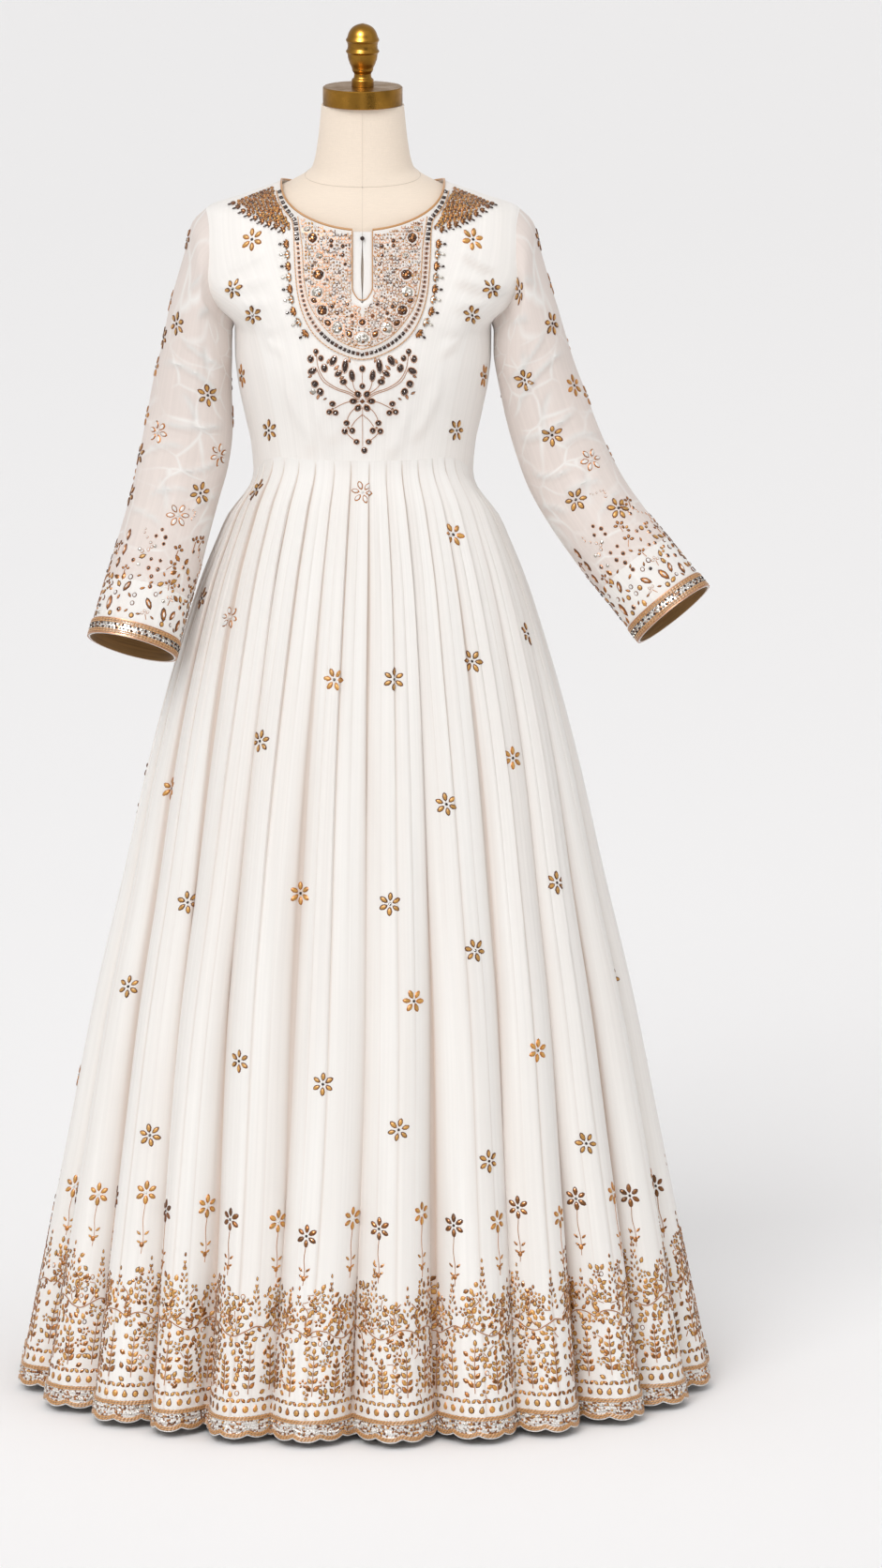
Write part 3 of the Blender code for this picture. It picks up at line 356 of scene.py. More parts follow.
def armhole_point(degrees):
    """A point of the armhole: 0 is the shoulder tip, 90 the front, 180 the underarm."""
    turn = math.radians(degrees)
    half = (ARMHOLE_TOP - ARMHOLE_BOTTOM) / 2
    height = ARMHOLE_BOTTOM + half + half * math.cos(turn)
    front = math.sin(turn) >= 0
    reach = abs(math.sin(turn)) * (ARMHOLE_FRONT_DEPTH if front else ARMHOLE_BACK_DEPTH)
    squareness = torso("squareness", height)
    depth = torso("front" if front else "back", height)
    x = torso("gown_width", height) * (1 - (reach / depth) ** squareness) ** (1 / squareness)
    return float(x), float(torso("centre_y", height) + (-reach if front else reach)), height


def patch(bottom, top, left, right):
    """A grid between four edges, each a row of points, blended from all of them."""
    u = np.linspace(0, 1, len(bottom))[None, :, None]
    v = np.linspace(0, 1, len(left))[:, None, None]
    across = (1 - u) * left[:, None] + u * right[:, None]
    along = (1 - v) * bottom[None] + v * top[None]
    corners = (1 - v) * ((1 - u) * bottom[0] + u * bottom[-1]) + v * ((1 - u) * top[0] + u * top[-1])
    return across + along - corners


def relaxed(grid, rounds=700):
    """A flat grid whose inner points are moved until its cells are even and none folds over."""
    for _ in range(rounds):
        up = (grid[2:, 1:-1] - grid[:-2, 1:-1]) / 2
        across = (grid[1:-1, 2:] - grid[1:-1, :-2]) / 2
        tall, wide = (up**2).sum(-1, keepdims=True), (across**2).sum(-1, keepdims=True)
        skew = (up * across).sum(-1, keepdims=True)
        corners = (grid[2:, 2:] - grid[2:, :-2] - grid[:-2, 2:] + grid[:-2, :-2]) / 2
        moved = tall * (grid[1:-1, 2:] + grid[1:-1, :-2]) + wide * (grid[2:, 1:-1] + grid[:-2, 1:-1])
        grid[1:-1, 1:-1] = (moved - skew * corners) / (2 * (tall + wide) + 1e-15)
    return grid


def seam_line(seam, meets, rows):
    """x and z down a seam, from its foot to where it meets the armhole."""
    heights = np.append(seam["height"], meets[2])
    widths = np.append(seam["half_width"], meets[0])
    z = np.linspace(heights[0], heights[-1], rows + 1)
    return [(float(smooth(value, heights, widths)), float(value)) for value in z]


def neckline(x, drop):
    """The neckline's height at this x."""
    ratio = min(abs(x) / NECK_HALF_WIDTH, 1.0)
    return NECK_POINT_HEIGHT - drop * (1 - ratio**NECK_ROUNDNESS) ** (1 / NECK_ROUNDNESS)


def neck_points(inner, back, count):
    """Evenly spaced points of half the neckline, from x = inner to the neck point."""
    drop = BACK_NECK_DROP if back else FRONT_NECK_DROP
    turns = np.linspace(math.asin((inner / NECK_HALF_WIDTH) ** (NECK_ROUNDNESS / 2)), math.pi / 2, 120)
    xs = NECK_HALF_WIDTH * np.sin(turns) ** (2 / NECK_ROUNDNESS)
    points = on_bodice(xs, np.array([neckline(x, drop) for x in xs]), back)
    along = lengths(points)
    stops = np.linspace(0, along[-1], count + 1)
    return np.stack([np.interp(stops, along, points[:, axis]) for axis in range(3)], -1)


def waist_knots():
    """Angle and height along the waist seam, from the front centre to the side."""
    start = angle_at(PRINCESS_AT_WAIST, WAIST_FRONT)
    steps = 12 - ARMHOLE_SEAM_STEP
    angles = np.linspace(start, 90, steps + 1)
    heights = WAIST_FRONT + (WAIST_SIDE - WAIST_FRONT) * step_up((angles - start) / (90 - start))
    return np.concatenate([[0], angles]), np.concatenate([[WAIST_FRONT], heights])


def waist_height(angle):
    """The waist seam's height at an angle from the front."""
    return np.interp(np.abs(angle), *waist_knots())


def side_half(back):
    """The panel between the princess seam and the side seam, up to the armhole."""
    seam = BACK_SEAM if back else PRINCESS_SEAM
    sign = -1 if back else 1
    rows = PRINCESS_ROWS * FINE
    meets = armhole_point(sign * ARMHOLE_STEP * ARMHOLE_SEAM_STEP)
    inner = np.array([(angle_at(x, z, back), z) for x, z in seam_line(seam, meets, rows)])
    top = []
    for step in range(ARMHOLE_SEAM_STEP * FINE, 12 * FINE + 1):
        x, _, height = armhole_point(sign * ARMHOLE_STEP * step / FINE)
        top.append((angle_at(x, height, back), height))
    top = np.array(top)
    top[-1, 0] = 90
    angles = np.linspace(inner[0, 0], 90, len(top))
    heights = np.full(len(top), WAIST_SIDE) if back else waist_height(angles)
    bottom = np.stack([angles, heights], -1)
    side = np.stack([np.full(rows + 1, 90.0), np.linspace(WAIST_SIDE, ARMHOLE_BOTTOM, rows + 1)], -1)
    plane = patch(bottom, top, inner, side)
    return gown_point(plane[..., 0], plane[..., 1])


def mirrored(grid):
    return grid[:, ::-1] * MIRROR


def sleeve_rings(rows, side):
    """Sections of a sleeve from the armhole down to the cuff's rim, the last point of each on the first."""
    degrees = np.linspace(0, 360, 24 * SLEEVE_FINE + 1)
    turns = np.radians(degrees)
    start = np.array([armhole_point(turn) for turn in degrees])
    middle = (start[0, 0] + start[12 * SLEEVE_FINE, 0]) / 2
    chord = middle + (start[0, 0] - middle) * np.cos(turns)
    bulge = start[:, 0] - chord
    rings = [start]
    for i in range(len(rows["lean"])):
        outer = np.array([rows["outer_x"][i], 0, rows["outer_z"][i]])
        inner = np.array([rows["inner_x"][i], 0, rows["inner_z"][i]])
        centre = (outer + inner) / 2 + np.array([0, rows["centre_y"][i], 0])
        half = (outer - inner) / 2
        out = half / np.linalg.norm(half)
        lean = math.radians(rows["lean"][i])
        # The axis runs down and outward, square to the section's width, then leans forward.
        down = np.array([out[2], 0, -out[0]]) * math.cos(lean) + np.array([0, -math.sin(lean), 0])
        front = np.cross(out, down)
        front *= -np.sign(front[1])
        ring = centre + np.cos(turns)[:, None] * half
        ring = ring + np.sin(turns)[:, None] * rows["half_depth"][i] * front
        if i < len(ARMHOLE_BULGE_LEFT):
            ring[:, 0] += ARMHOLE_BULGE_LEFT[i] * bulge
        rings.append(ring)
    return np.array(rings) * np.array([side, 1.0, 1.0])


def unit(vector):
    return vector / np.linalg.norm(vector, axis=-1, keepdims=True)


def back_folds():
    """The folds round the back, of even width with depths that vary a little."""
    step = 180 / BACK_FOLD_COUNT
    rows = []
    for i in range(BACK_FOLD_COUNT):
        uneven = math.sin(2.1 * i) * 1.6 if i else 0.0
        near_side = i in (0, BACK_FOLD_COUNT - 1)
        angle = 90 + i * step
        depth = BACK_FOLD_DEPTH * (1 + 0.12 * math.sin(3.7 * i))
        rows.append((angle + uneven / 2, angle + uneven, depth, 1 if near_side else 2))
    return table("waist hem depth pleats", rows)


def fold_columns(folds, end):
    """Each column's angles at waist and hem, its place in its fold and its pleat, and its depth."""
    columns = []
    count = len(folds["waist"])
    for i in range(count):
        last = i == count - 1
        waist_to = end if last else folds["waist"][i + 1]
        hem_to = end if last else folds["hem"][i + 1]
        depth_to = folds["depth"][(i + 1) % count]
        pleats = int(folds["pleats"][i])
        steps = pleats * COLUMNS_PER_PLEAT[pleats]
        for k in range(steps + (1 if last else 0)):
            # Columns crowd towards each pleat's edges and its middle, where the cloth laps.
            within = k / steps * pleats
            u = (within - 0.85 * math.sin(4 * math.pi * within) / (4 * math.pi)) / pleats
            depth = folds["depth"][i] + (depth_to - folds["depth"][i]) * step_up(u)
            waist = folds["waist"][i] + (waist_to - folds["waist"][i]) * u
            hem = folds["hem"][i] + (hem_to - folds["hem"][i]) * u
            columns.append((waist, hem, u, (u * pleats) % 1.0, depth, i, i + u))
    return table("waist hem in_fold in_pleat depth fold running", columns)


def knife(within, order, drop):
    """A knife pleat and a half pleat inside it: their height, and the thin shaded line at each lap."""
    uneven = 0.5 + 0.5 * np.sin(order * 4.1 + 0.7)
    wander = 0.5 + 0.5 * np.sin(order * 2.3 + 7.0 * drop)
    height = within * step_up((1 - within) / 0.05)
    half = np.mod(within + 0.5, 1)
    second = (0.35 + 0.65 * wander) * (1 - uneven * 0.6) * step_up(drop / 0.12)
    height = 0.75 * height + 0.42 * second * half * step_up((1 - half) / 0.05)
    line = np.exp(-(((1 - within) / 0.045) ** 2)) + np.exp(-((within / 0.03) ** 2))
    line = line * (0.35 + 0.65 * uneven) + second * 0.6 * np.exp(-(((1 - half) / 0.045) ** 2))
    return height, np.clip(line, 0, 1)


def skirt_surface(back):
    """The skirt's outer face from the waist seam to the hem, and the shade painted on it: thin lines at the
    pleat laps and darker fold valleys.
    """
    columns = fold_columns(back_folds(), 270) if back else fold_columns(FRONT_FOLDS, 90)
    drops = np.linspace(0, 1, SKIRT_ROWS + 1) ** 1.25
    fold, running = columns["fold"], columns["running"]
    grid, shade = [], []
    for drop in drops:
        angle = columns["waist"] + (columns["hem"] - columns["waist"]) * drop**0.7
        edge = np.minimum(running - running[0], running[-1] - running)
        sway = np.sin(2.3 * fold + 5.1 * drop) + 0.6 * np.sin(1.1 * running + 9.0 * drop + 1.7)
        angle = angle + 0.55 * sway * step_up(edge) * step_up(drop / 0.25)
        names = ("half_width", "front", "back")
        half_width, front, rear = (float(smooth(drop, SKIRT["drop"], SKIRT[name])) for name in names)
        x, y = oval(angle, half_width, front, rear, 0.005, SKIRT_ROUNDNESS)
        top = waist_height(np.where(np.abs(columns["waist"]) > 90, 90, columns["waist"]))
        start = gown_point(columns["waist"], top)
        seam = step_up(1 - drop / 0.06)
        x = x * (1 - seam) + start[:, 0] * seam + (x - start[:, 0]) * seam * drop / 0.06
        y = y * (1 - seam) + start[:, 1] * seam + (y - start[:, 1]) * seam * drop / 0.06
        z = top + (HEM_HEIGHT - top) * drop
        turned = np.radians(angle)
        deep = np.where(np.cos(turned) > 0, front, rear)
        out = unit(np.stack([np.sin(turned) / half_width, -np.cos(turned) / deep], -1))
        height, line = knife(columns["in_pleat"], np.floor(running * 2 + 1e-6), drop)
        pleated = (0.1 + 0.9 * step_up(drop / 0.05)) * (1 - 0.72 * step_up(drop / 0.75))
        uneven = 1 + 0.25 * np.sin(3.9 * np.floor(running * 2 + 1e-6) + 1.0)
        valley = np.abs(2 * columns["in_fold"] - 1) ** 2.2
        shift = sizes().pleat * pleated * height * uneven - columns["depth"] * drop**1.55 * valley
        grid.append(np.stack([x + out[:, 0] * shift, y + out[:, 1] * shift, z], -1))
        # Painted shade: a thin line at each pleat's lap, strongest near the waist, and the fold valleys
        # darkened in the lower half.
        warm = line * (1 - 0.55 * step_up((drop - 0.05) / 0.4)) * step_up(drop / 0.01)
        shade.append(np.clip(0.95 * warm + valley**3 * step_up(drop / 0.5) * 0.45, 0, 1))
    return np.array(grid), np.array(shade)


def slit_width(height):
    """Half the slit's width: it closes to a point at its foot."""
    return SLIT_HALF_WIDTH * math.sin(math.pi / 2 * float(np.clip((height - SLIT_FOOT) / SLIT_POINT, 0, 1)))


def centre_plane(back):
    """One half of the front or back, from its middle to the seam and armhole: x, and its rise."""
    drop = BACK_NECK_DROP if back else FRONT_NECK_DROP
    waist = WAIST_SIDE if back else WAIST_FRONT
    inner = 0.0 if back else SLIT_HALF_WIDTH
    edge = outer_edge(back)
    neck_columns, shoulder_columns = (5 * FINE, 4 * FINE) if back else (8 * FINE, 4 * FINE)
    top = [(x, rise(x, z)) for x, _, z in neck_points(inner, back, neck_columns)]
    for x in np.linspace(NECK_HALF_WIDTH, edge[-1, 0], shoulder_columns + 1)[1:]:
        top.append((x, BODICE_LENGTH))
    bottom = [(x, rise(x, waist)) for x in np.linspace(0, edge[0, 0], len(top))]
    heights = np.linspace(waist, neckline(inner, drop), len(edge))
    middle = [(x, rise(x, z)) for x, z in ((0.0 if back else slit_width(z), z) for z in heights)]
    outer = np.stack([edge[:, 0], rise(edge[:, 0], edge[:, 2])], -1)
    return relaxed(patch(*(np.array(side, float) for side in (bottom, top, middle, outer))))


@functools.cache
def outer_edge(back):
    """The points up the princess seam and round the armhole to the shoulder."""
    steps = range(ARMHOLE_SEAM_STEP * FINE - 1, -1, -1)
    sign = -1 if back else 1
    round_it = [armhole_point(sign * ARMHOLE_STEP * step / FINE) for step in steps]
    return np.concatenate([side_half(back)[:, 0], round_it])


def crease_lift(points, back, share):
    """How far the creases lift a front or back: nothing along its edges."""
    x, z = np.abs(points[..., 0]), points[..., 2]
    lift, _ = creased(np.stack([x, z - BODICE_FOOT], -1), BACK_CREASES if back else FRONT_CREASES)
    edge = outer_edge(back)
    drop = BACK_NECK_DROP if back else FRONT_NECK_DROP
    across = np.linspace(0, 0.184, 93)
    tops = [neckline(at, drop) if at < NECK_HALF_WIDTH else ridge(at) for at in across]
    for room in (np.interp(z, edge[:, 2], edge[:, 0]) - x, np.interp(x, across, tops) - z, z - WAIST_FRONT):
        lift = lift * step_up(room / 0.018)
    return lift * share


# Cloth


def rotated(a, b, degrees):
    """Places turned clockwise."""
    turn = math.radians(degrees)
    return a * math.cos(turn) + b * math.sin(turn), b * math.cos(turn) - a * math.sin(turn)


def off(x, y, reach, degrees):
    """The place this far from another, by degrees clockwise from upwards."""
    turn = math.radians(degrees)
    return x + reach * math.sin(turn), y + reach * math.cos(turn)


def lengths(points):
    """The distance along a row of points up to each."""
    return np.concatenate([[0], np.cumsum(np.linalg.norm(np.diff(points, axis=0), axis=1))])


def place_in(goal, line):
    """Where a value falls among rising ones, as an index with a fraction."""
    return np.interp(goal, line, np.arange(len(line)))


def creased(plane, creases):
    """How far creases lift each point of a cloth, and how much they whiten it: partly where the sheer cloth
    lies doubled, partly a painted highlight along each ridge.

    Each crease runs from one place on the cloth to another with a bow, has a width and a depth, and
    fades towards both ends. A negative depth is a trough.
    """
    lift = np.zeros(plane.shape[:-1])
    white = np.zeros(plane.shape[:-1])
    for x0, y0, x1, y1, bow, width, depth in creases:
        start, way = np.array([x0, y0]), np.array([x1 - x0, y1 - y0])
        reach = np.linalg.norm(way)
        along = (plane - start) @ way / reach**2
        aside = (plane - start) @ np.array([-way[1], way[0]]) / reach
        aside = aside - bow * 4 * along * (1 - along)
        taper = step_up(along / 0.3) * step_up((1 - along) / 0.3)
        shape = np.exp(-((aside / width) ** 2)) * taper
        lift += depth * shape
        white += shape * abs(depth) / 0.003
    return lift * sizes().crease, np.clip(white, 0, 1)


class Cloth:
    """A cloth's outer face: a grid of points, its outward way, and its true lengths."""

    def __init__(self, grid, down=False, closed=False, foot=0.0):
        self.grid = np.array(grid, float)
        self.down, self.closed, self.foot = down, closed, foot
        self.shade = np.zeros(self.grid.shape[:2])
        self.measure()

    def measure(self):
        grid = self.grid
        across = np.linalg.norm(np.diff(grid, axis=1), axis=-1)
        along = np.linalg.norm(np.diff(grid, axis=0), axis=-1)
        self.across = np.concatenate([np.zeros((len(grid), 1)), np.cumsum(across, 1)], 1)
        self.along = np.concatenate([np.zeros((1, grid.shape[1])), np.cumsum(along, 0)])
        sideways = np.gradient(grid, axis=1)
        if self.closed:
            sideways[:, 0] = sideways[:, -1] = grid[:, 1] - grid[:, -2]
        out = unit(np.cross(sideways, np.gradient(grid, axis=0)) + 1e-12)
        centre = grid.mean(1, keepdims=True) if self.closed else AXIS
        away = (grid - centre) * (1, 1, int(self.closed))
        self.out = out if (out * away).sum() > 0 else -out
        upward = np.gradient(grid, axis=0) * (-1 if self.down else 1)
        self.handed = 1 if (np.cross(sideways, upward) * self.out).sum() > 0 else -1

    def move_out(self, by):
        """Moves the points along the outward way."""
        self.grid = self.grid + self.out * by[..., None]
        self.measure()

    def find(self, x, z):
        """Column and row of the point seen from the front at x and z."""
        away = (self.grid[..., 0] - x) ** 2 + (self.grid[..., 2] - z) ** 2
        row, column = divmod(int(np.argmin(away + 2e-4 * self.grid[..., 1])), self.grid.shape[1])
        row = min(max(row, 1), self.grid.shape[0] - 2)
        column = min(max(column, 1), self.grid.shape[1] - 2)
        flat = self.grid[..., ::2]
        sideways = (flat[row, column + 1] - flat[row, column - 1]) / 2
        upward = (flat[row + 1, column] - flat[row - 1, column]) / 2
        goal = np.array([x, z]) - flat[row, column]
        more, _, rank, _ = np.linalg.lstsq(np.stack([sideways, upward], 1), goal, rcond=None)
        more = np.clip(more, -1, 1) if rank == 2 else (0.0, 0.0)
        return float(column + more[0]), float(row + more[1])

    def spot(self, share, height):
        """Column and row at a share of the way across, this far above the lower edge."""
        edge = self.across[-1 if self.down else 0]
        column = float(place_in(share * edge[-1], edge))
        line = self.along[:, int(round(column))]
        return column, float(place_in(line[-1] - self.foot - height if self.down else height, line))

    def rim_spot(self, run):
        """Column and row on the lower edge, this far along it."""
        return float(place_in(run, self.across[-1])), len(self.grid) - 1.0

    def even_columns(self, step):
        """Columns about this far apart along the lower edge, and their distance along it."""
        widths = self.across[-1 if self.down else 0]
        run = np.linspace(0, widths[-1], int(round(widths[-1] / step)) + 1)
        return place_in(run, widths), run

    def levels(self, columns, heights):
        """Rows at these heights above the lower edge, column by column."""
        lines = self.along[:, np.round(columns).astype(int)]
        heights = np.broadcast_to(heights, np.shape(columns))
        goals = lines[-1] - self.foot - heights if self.down else heights
        return np.array([place_in(goal, line) for goal, line in zip(goals, lines.T)])

    def shift(self, column, row, right, up):
        """Columns and rows that lie this far to the right of a place and above it, in metres."""
        columns = np.arange(self.across.shape[1])
        widths = self.across[int(np.clip(round(row), 0, len(self.grid) - 1))]
        heights = self.along[:, int(np.clip(round(column), 0, len(columns) - 1))]
        goal = np.interp(column, columns, widths) + right
        if self.closed:
            goal = np.mod(goal, widths[-1])
        level = np.interp(row, np.arange(len(heights)), heights) + (-up if self.down else up)
        return place_in(goal, widths), place_in(level, heights)

    def at(self, column, row, lift=0.0):
        """Points at these columns and rows, this far off the cloth."""
        column = np.clip(column, 0, self.grid.shape[1] - 1.0001)
        row = np.clip(row, 0, self.grid.shape[0] - 1.0001)
        c, r = np.floor(column).astype(int), np.floor(row).astype(int)
        s, t = (column - c)[..., None], (row - r)[..., None]

        def blend(field):
            low = field[r, c] * (1 - s) + field[r, c + 1] * s
            high = field[r + 1, c] * (1 - s) + field[r + 1, c + 1] * s
            return low * (1 - t) + high * t

        return blend(self.grid) + unit(blend(self.out)) * np.asarray(lift)[..., None]


def cloth_grid(cloth):
    """A bmesh grid with the cloth's points, its lengths in metres as UV map, and its shade."""
    rows, columns = cloth.grid.shape[:2]
    shape = bmesh.new()
    bmesh.ops.create_grid(shape, x_segments=columns - 1, y_segments=rows - 1, size=1)
    shade = shape.verts.layers.float.new("shade")
    uv = shape.loops.layers.uv.new("UVMap")
    shape.verts.index_update()
    width, height = cloth.across.mean(0), cloth.along.mean(1)
    if cloth.down:
        height = height[-1] - height
    for vert in shape.verts:
        r, c = divmod(vert.index, columns)
        vert.co = cloth.grid[r, c]
        vert[shade] = cloth.shade[r, c]
        for loop in vert.link_loops:
            loop[uv].uv = float(width[c]), float(height[r])
    shape.normal_update()
    shape.faces.ensure_lookup_table()
    middle = shape.faces[len(shape.faces) // 2]
    nearest = int(np.argmin(((cloth.grid - np.array(middle.calc_center_median())) ** 2).sum(-1)))
    if Vector(cloth.out.reshape(-1, 3)[nearest]).dot(middle.normal) < 0:
        bmesh.ops.reverse_faces(shape, faces=shape.faces)
    return shape


def mesh_of(name, shape):
    """A mesh from a bmesh, which is freed."""
    mesh = bpy.data.meshes.new(name)
    shape.to_mesh(mesh)
    shape.free()
    return mesh


def add_object(name, data):
    """A new object in the scene."""
    made = bpy.data.objects.new(name, data)
    bpy.context.scene.collection.objects.link(made)
    return made


def add_piece(name, shape, finishes, slot, *nodes, wall=None, inside=0, sharp=60):
    """A finished object from a bmesh: its materials, its wall, its body and the nodes it stands for."""
    shape.edges.index_update()
    rims = [edge.index for edge in shape.edges if edge.is_boundary]
    mesh = mesh_of(name, shape)
    for finish in finishes:
        mesh.materials.append(material(finish))
    mesh.shade_smooth()
    mesh.set_sharp_from_angle(angle=math.radians(sharp))
    sharpened = mesh.attributes.get("sharp_edge") or mesh.attributes.new("sharp_edge", "BOOLEAN", "EDGE")
    for index in rims:
        sharpened.data[index].value = True
    made = add_object(name, mesh)
    if wall:
        thick = made.modifiers.new("Wall", "SOLIDIFY")
        thick.thickness = wall
        thick.offset = -1
        thick.material_offset = inside
        thick.use_quality_normals = True
    if nodes:
        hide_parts(*nodes)
    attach(made, "root")
    return made


def add_cloth(name, cloths, finishes, slot, nodes, flat, held, area=None, inside=0, wall=None, rests_on=()):
    """A sheet of cloth from one or more grids that share edges."""
    whole = bmesh.new()
    for cloth in cloths:
        mesh = mesh_of("part", cloth_grid(cloth))
        whole.from_mesh(mesh)
        bpy.data.meshes.remove(mesh)
    if len(cloths) > 1 or cloths[0].closed:
        bmesh.ops.remove_doubles(whole, verts=whole.verts, dist=1e-6)
    made = add_piece(name, whole, finishes, slot, *nodes, wall=wall or sizes().cloth, inside=inside)
    return made


# Materials


def add(tree, kind, *values, out=0, **named):
    """A node's output. Inputs are given by place or by name, settings in small letters."""
    made = tree.nodes.new("ShaderNode" + kind)
    for name, value in [*named.items(), *enumerate(values)]:
        if isinstance(name, str) and name.islower():
            setattr(made, name, value)
            continue
        socket = made.inputs[name if isinstance(name, int) else name.replace("_", " ")]
        if isinstance(value, bpy.types.NodeSocket):
            tree.links.new(value, socket)
        else:
            socket.default_value = value
    return made.outputs[out]


def start_material(name, roughness, metallic=0.0, **even):
    """An empty material and its nodes, with the shader's even values set."""
    made = bpy.data.materials.new(name)
    made.use_nodes = True
    for socket, value in {"Roughness": roughness, "Metallic": metallic, **even}.items():
        made.node_tree.nodes["Principled BSDF"].inputs[socket.replace("_", " ")].default_value = value
    return made, made.node_tree


def georgette(name, tint, deep, roughness, sheen, alpha=1.0, creases=None, haze=0.14, crepe=800.0):
    """Georgette: a fine crepe of twisted threads, matt, with faint silky streaks down its fall."""
    made, tree = start_material(
        name, roughness, Sheen_Weight=sheen, Sheen_Roughness=0.5, Alpha=alpha, Specular_IOR_Level=0.25
    )
    place = add(tree, "TexCoord", out="UV")
    shade = add(tree, "Attribute", attribute_name="shade", out="Fac")
    # Streaks 4 mm across and 0.4 m long.
    streak = add(tree, "Mapping", Vector=place, Scale=(240.0, 2.6, 1.0))
    streak = add(tree, "TexNoise", Vector=streak, Scale=1.0, Detail=3.0)
    streak = add(tree, "MapRange", Value=streak, From_Min=0.3, From_Max=0.7, To_Min=0.94)
    # Long clouds two fingers wide, where the layers under the cloth lie closer.
    cloud = add(tree, "Mapping", Vector=place, Scale=(14.0, 9.0, 1.0) if creases else (34.0, 2.2, 1.0))
    cloud = add(tree, "TexNoise", Vector=cloud, Scale=1.0)
    cloud = add(tree, "MapRange", Value=cloud, From_Min=0.35, From_Max=0.7, To_Max=haze)
    # The shade attribute mixes in the deep colour: painted shade on the skirt and bodice, and on the sleeves
    # a whitening that is partly doubled cloth and partly painted highlight. The clouds add random tone.
    depth = add(tree, "Math", shade, cloud, operation="ADD", use_clamp=True)
    lit = add(tree, "MixRGB", Fac=depth, Color1=tint, Color2=deep)
    lit = add(tree, "VectorMath", lit, operation="SCALE", Scale=streak)
    # The crepe's grain is 0.3 mm, drawn at 1.2 mm so that it shows.
    grain = add(tree, "TexNoise", Vector=place, Scale=crepe, Roughness=0.6)
    relief = add(tree, "Math", grain, streak, operation="ADD")
    if creases:
        # Creases about 40 mm apart that bow and fade, whiter along their ridges: partly the sheer cloth
        # lying doubled, partly a painted highlight.
        bow = add(tree, "TexNoise", Vector=place, Scale=9.0, Detail=1.0, out="Color")
        bow = add(tree, "VectorMath", bow, operation="SCALE", Scale=0.09)
        bent = add(tree, "VectorMath", place, bow, operation="ADD")
        fold = add(tree, "TexVoronoi", feature="DISTANCE_TO_EDGE", Vector=bent, Scale=25.0, out="Distance")
        fold = add(tree, "MapRange", Value=fold, From_Max=0.075, To_Min=1.0, To_Max=0.0)
        soft = add(tree, "TexNoise", Vector=place, Scale=16.0, Detail=1.0)
        soft = add(tree, "MapRange", Value=soft, From_Min=0.38, From_Max=0.58, To_Max=0.9)
        fold = add(tree, "Math", fold, soft, operation="MULTIPLY")
        lit = add(tree, "MixRGB", Fac=fold, Color1=lit, Color2=creases)
        raised = add(tree, "Math", fold, 2.5, operation="MULTIPLY")
        relief = add(tree, "Math", relief, raised, operation="ADD")
    bump = add(tree, "Bump", Height=relief, Strength=0.16, Distance=0.0006)
    return joined(made, Base_Color=lit, Normal=bump)


def thread(name, light, dark, roughness, spacing, sheen, metallic=0.0):
    """Satin stitch: glossy parallel threads, whose tone runs from piece to piece with the "shade"."""
    made, tree = start_material(
        name, roughness, metallic, Sheen_Weight=sheen, Sheen_Roughness=0.4, Specular_IOR_Level=0.25
    )
    place = add(tree, "TexCoord", out="Object")
    shade = add(tree, "Attribute", attribute_name="shade", out="Fac")
    fleck = add(tree, "TexNoise", Vector=place, Scale=1 / spacing)
    fleck = add(tree, "MapRange", Value=fleck, From_Min=0.35, From_Max=0.65, To_Min=-0.22, To_Max=0.22)
    tone = add(tree, "Math", shade, fleck, operation="ADD", use_clamp=True)
    tone = add(tree, "MixRGB", Fac=tone, Color1=dark, Color2=light)
    rib = add(tree, "TexNoise", Vector=place, Scale=2 / spacing, Detail=1.0)
    bump = add(tree, "Bump", Height=rib, Strength=0.5, Distance=0.0003)
    return joined(made, Base_Color=tone, Normal=bump)


def stone(name, light, dark, roughness, metallic, coat):
    """A faceted bead or sequin: dark or silvered glass with a sharp bright spot."""
    made, tree = start_material(name, roughness, metallic, Coat_Weight=coat, Coat_Roughness=0.08)
    place = add(tree, "TexCoord", out="Object")
    shade = add(tree, "Attribute", attribute_name="shade", out="Fac")
    # Painted reflection: the facets are lighter towards their edges, following the bump, by as much as the
    # piece's random tone lets them.
    facet = add(tree, "TexVoronoi", Vector=place, Scale=900.0, out="Distance")
    tone = add(tree, "Math", facet, shade, operation="MULTIPLY", use_clamp=True)
    tone = add(tree, "MixRGB", Fac=tone, Color1=dark, Color2=light)
    bump = add(tree, "Bump", Height=facet, Strength=0.6, Distance=0.0004)
    return joined(made, Base_Color=tone, Normal=bump)


def bead_net(name, pale, dark):
    """Glass seed beads 2.5 mm apart, netted over the border: most pale, some gold, each darkened towards the
    gaps between them as painted shade.
    """
    made, tree = start_material(name, 0.35, 0.25, Coat_Weight=0.3, Coat_Roughness=0.15)
    place = add(tree, "TexCoord", out="UV")
    bead = add(tree, "TexVoronoi", Vector=place, Scale=400.0, Randomness=0.7, out="Color")
    pick = add(tree, "SeparateColor", Color=bead, out="Red")
    pick = add(tree, "MapRange", Value=pick, From_Min=0.66, From_Max=0.72)
    tone = add(tree, "MixRGB", Fac=pick, Color1=pale, Color2=shifted(dark, 0.8))
    away = bead.node.outputs["Distance"]
    # Painted shade: each bead darkens towards the gaps, following the bump.
    gap = add(tree, "MapRange", Value=away, From_Min=0.35, From_Max=0.65, To_Min=1.0, To_Max=0.72)
    lit = add(tree, "VectorMath", tone, operation="SCALE", Scale=gap)
    bump = add(tree, "Bump", Height=gap, Strength=0.8, Distance=0.0006)
    return joined(made, Base_Color=lit, Normal=bump)


def joined(made, **sockets):
    """The material, with these outputs linked to its shader."""
    tree = made.node_tree
    for name, output in sockets.items():
        tree.links.new(output, tree.nodes["Principled BSDF"].inputs[name.replace("_", " ")])
    return made


def shifted(tint, by):
    """The same colour lighter or darker."""
    return (*(min(max(part * by, 0), 1) for part in tint[:3]), 1.0)


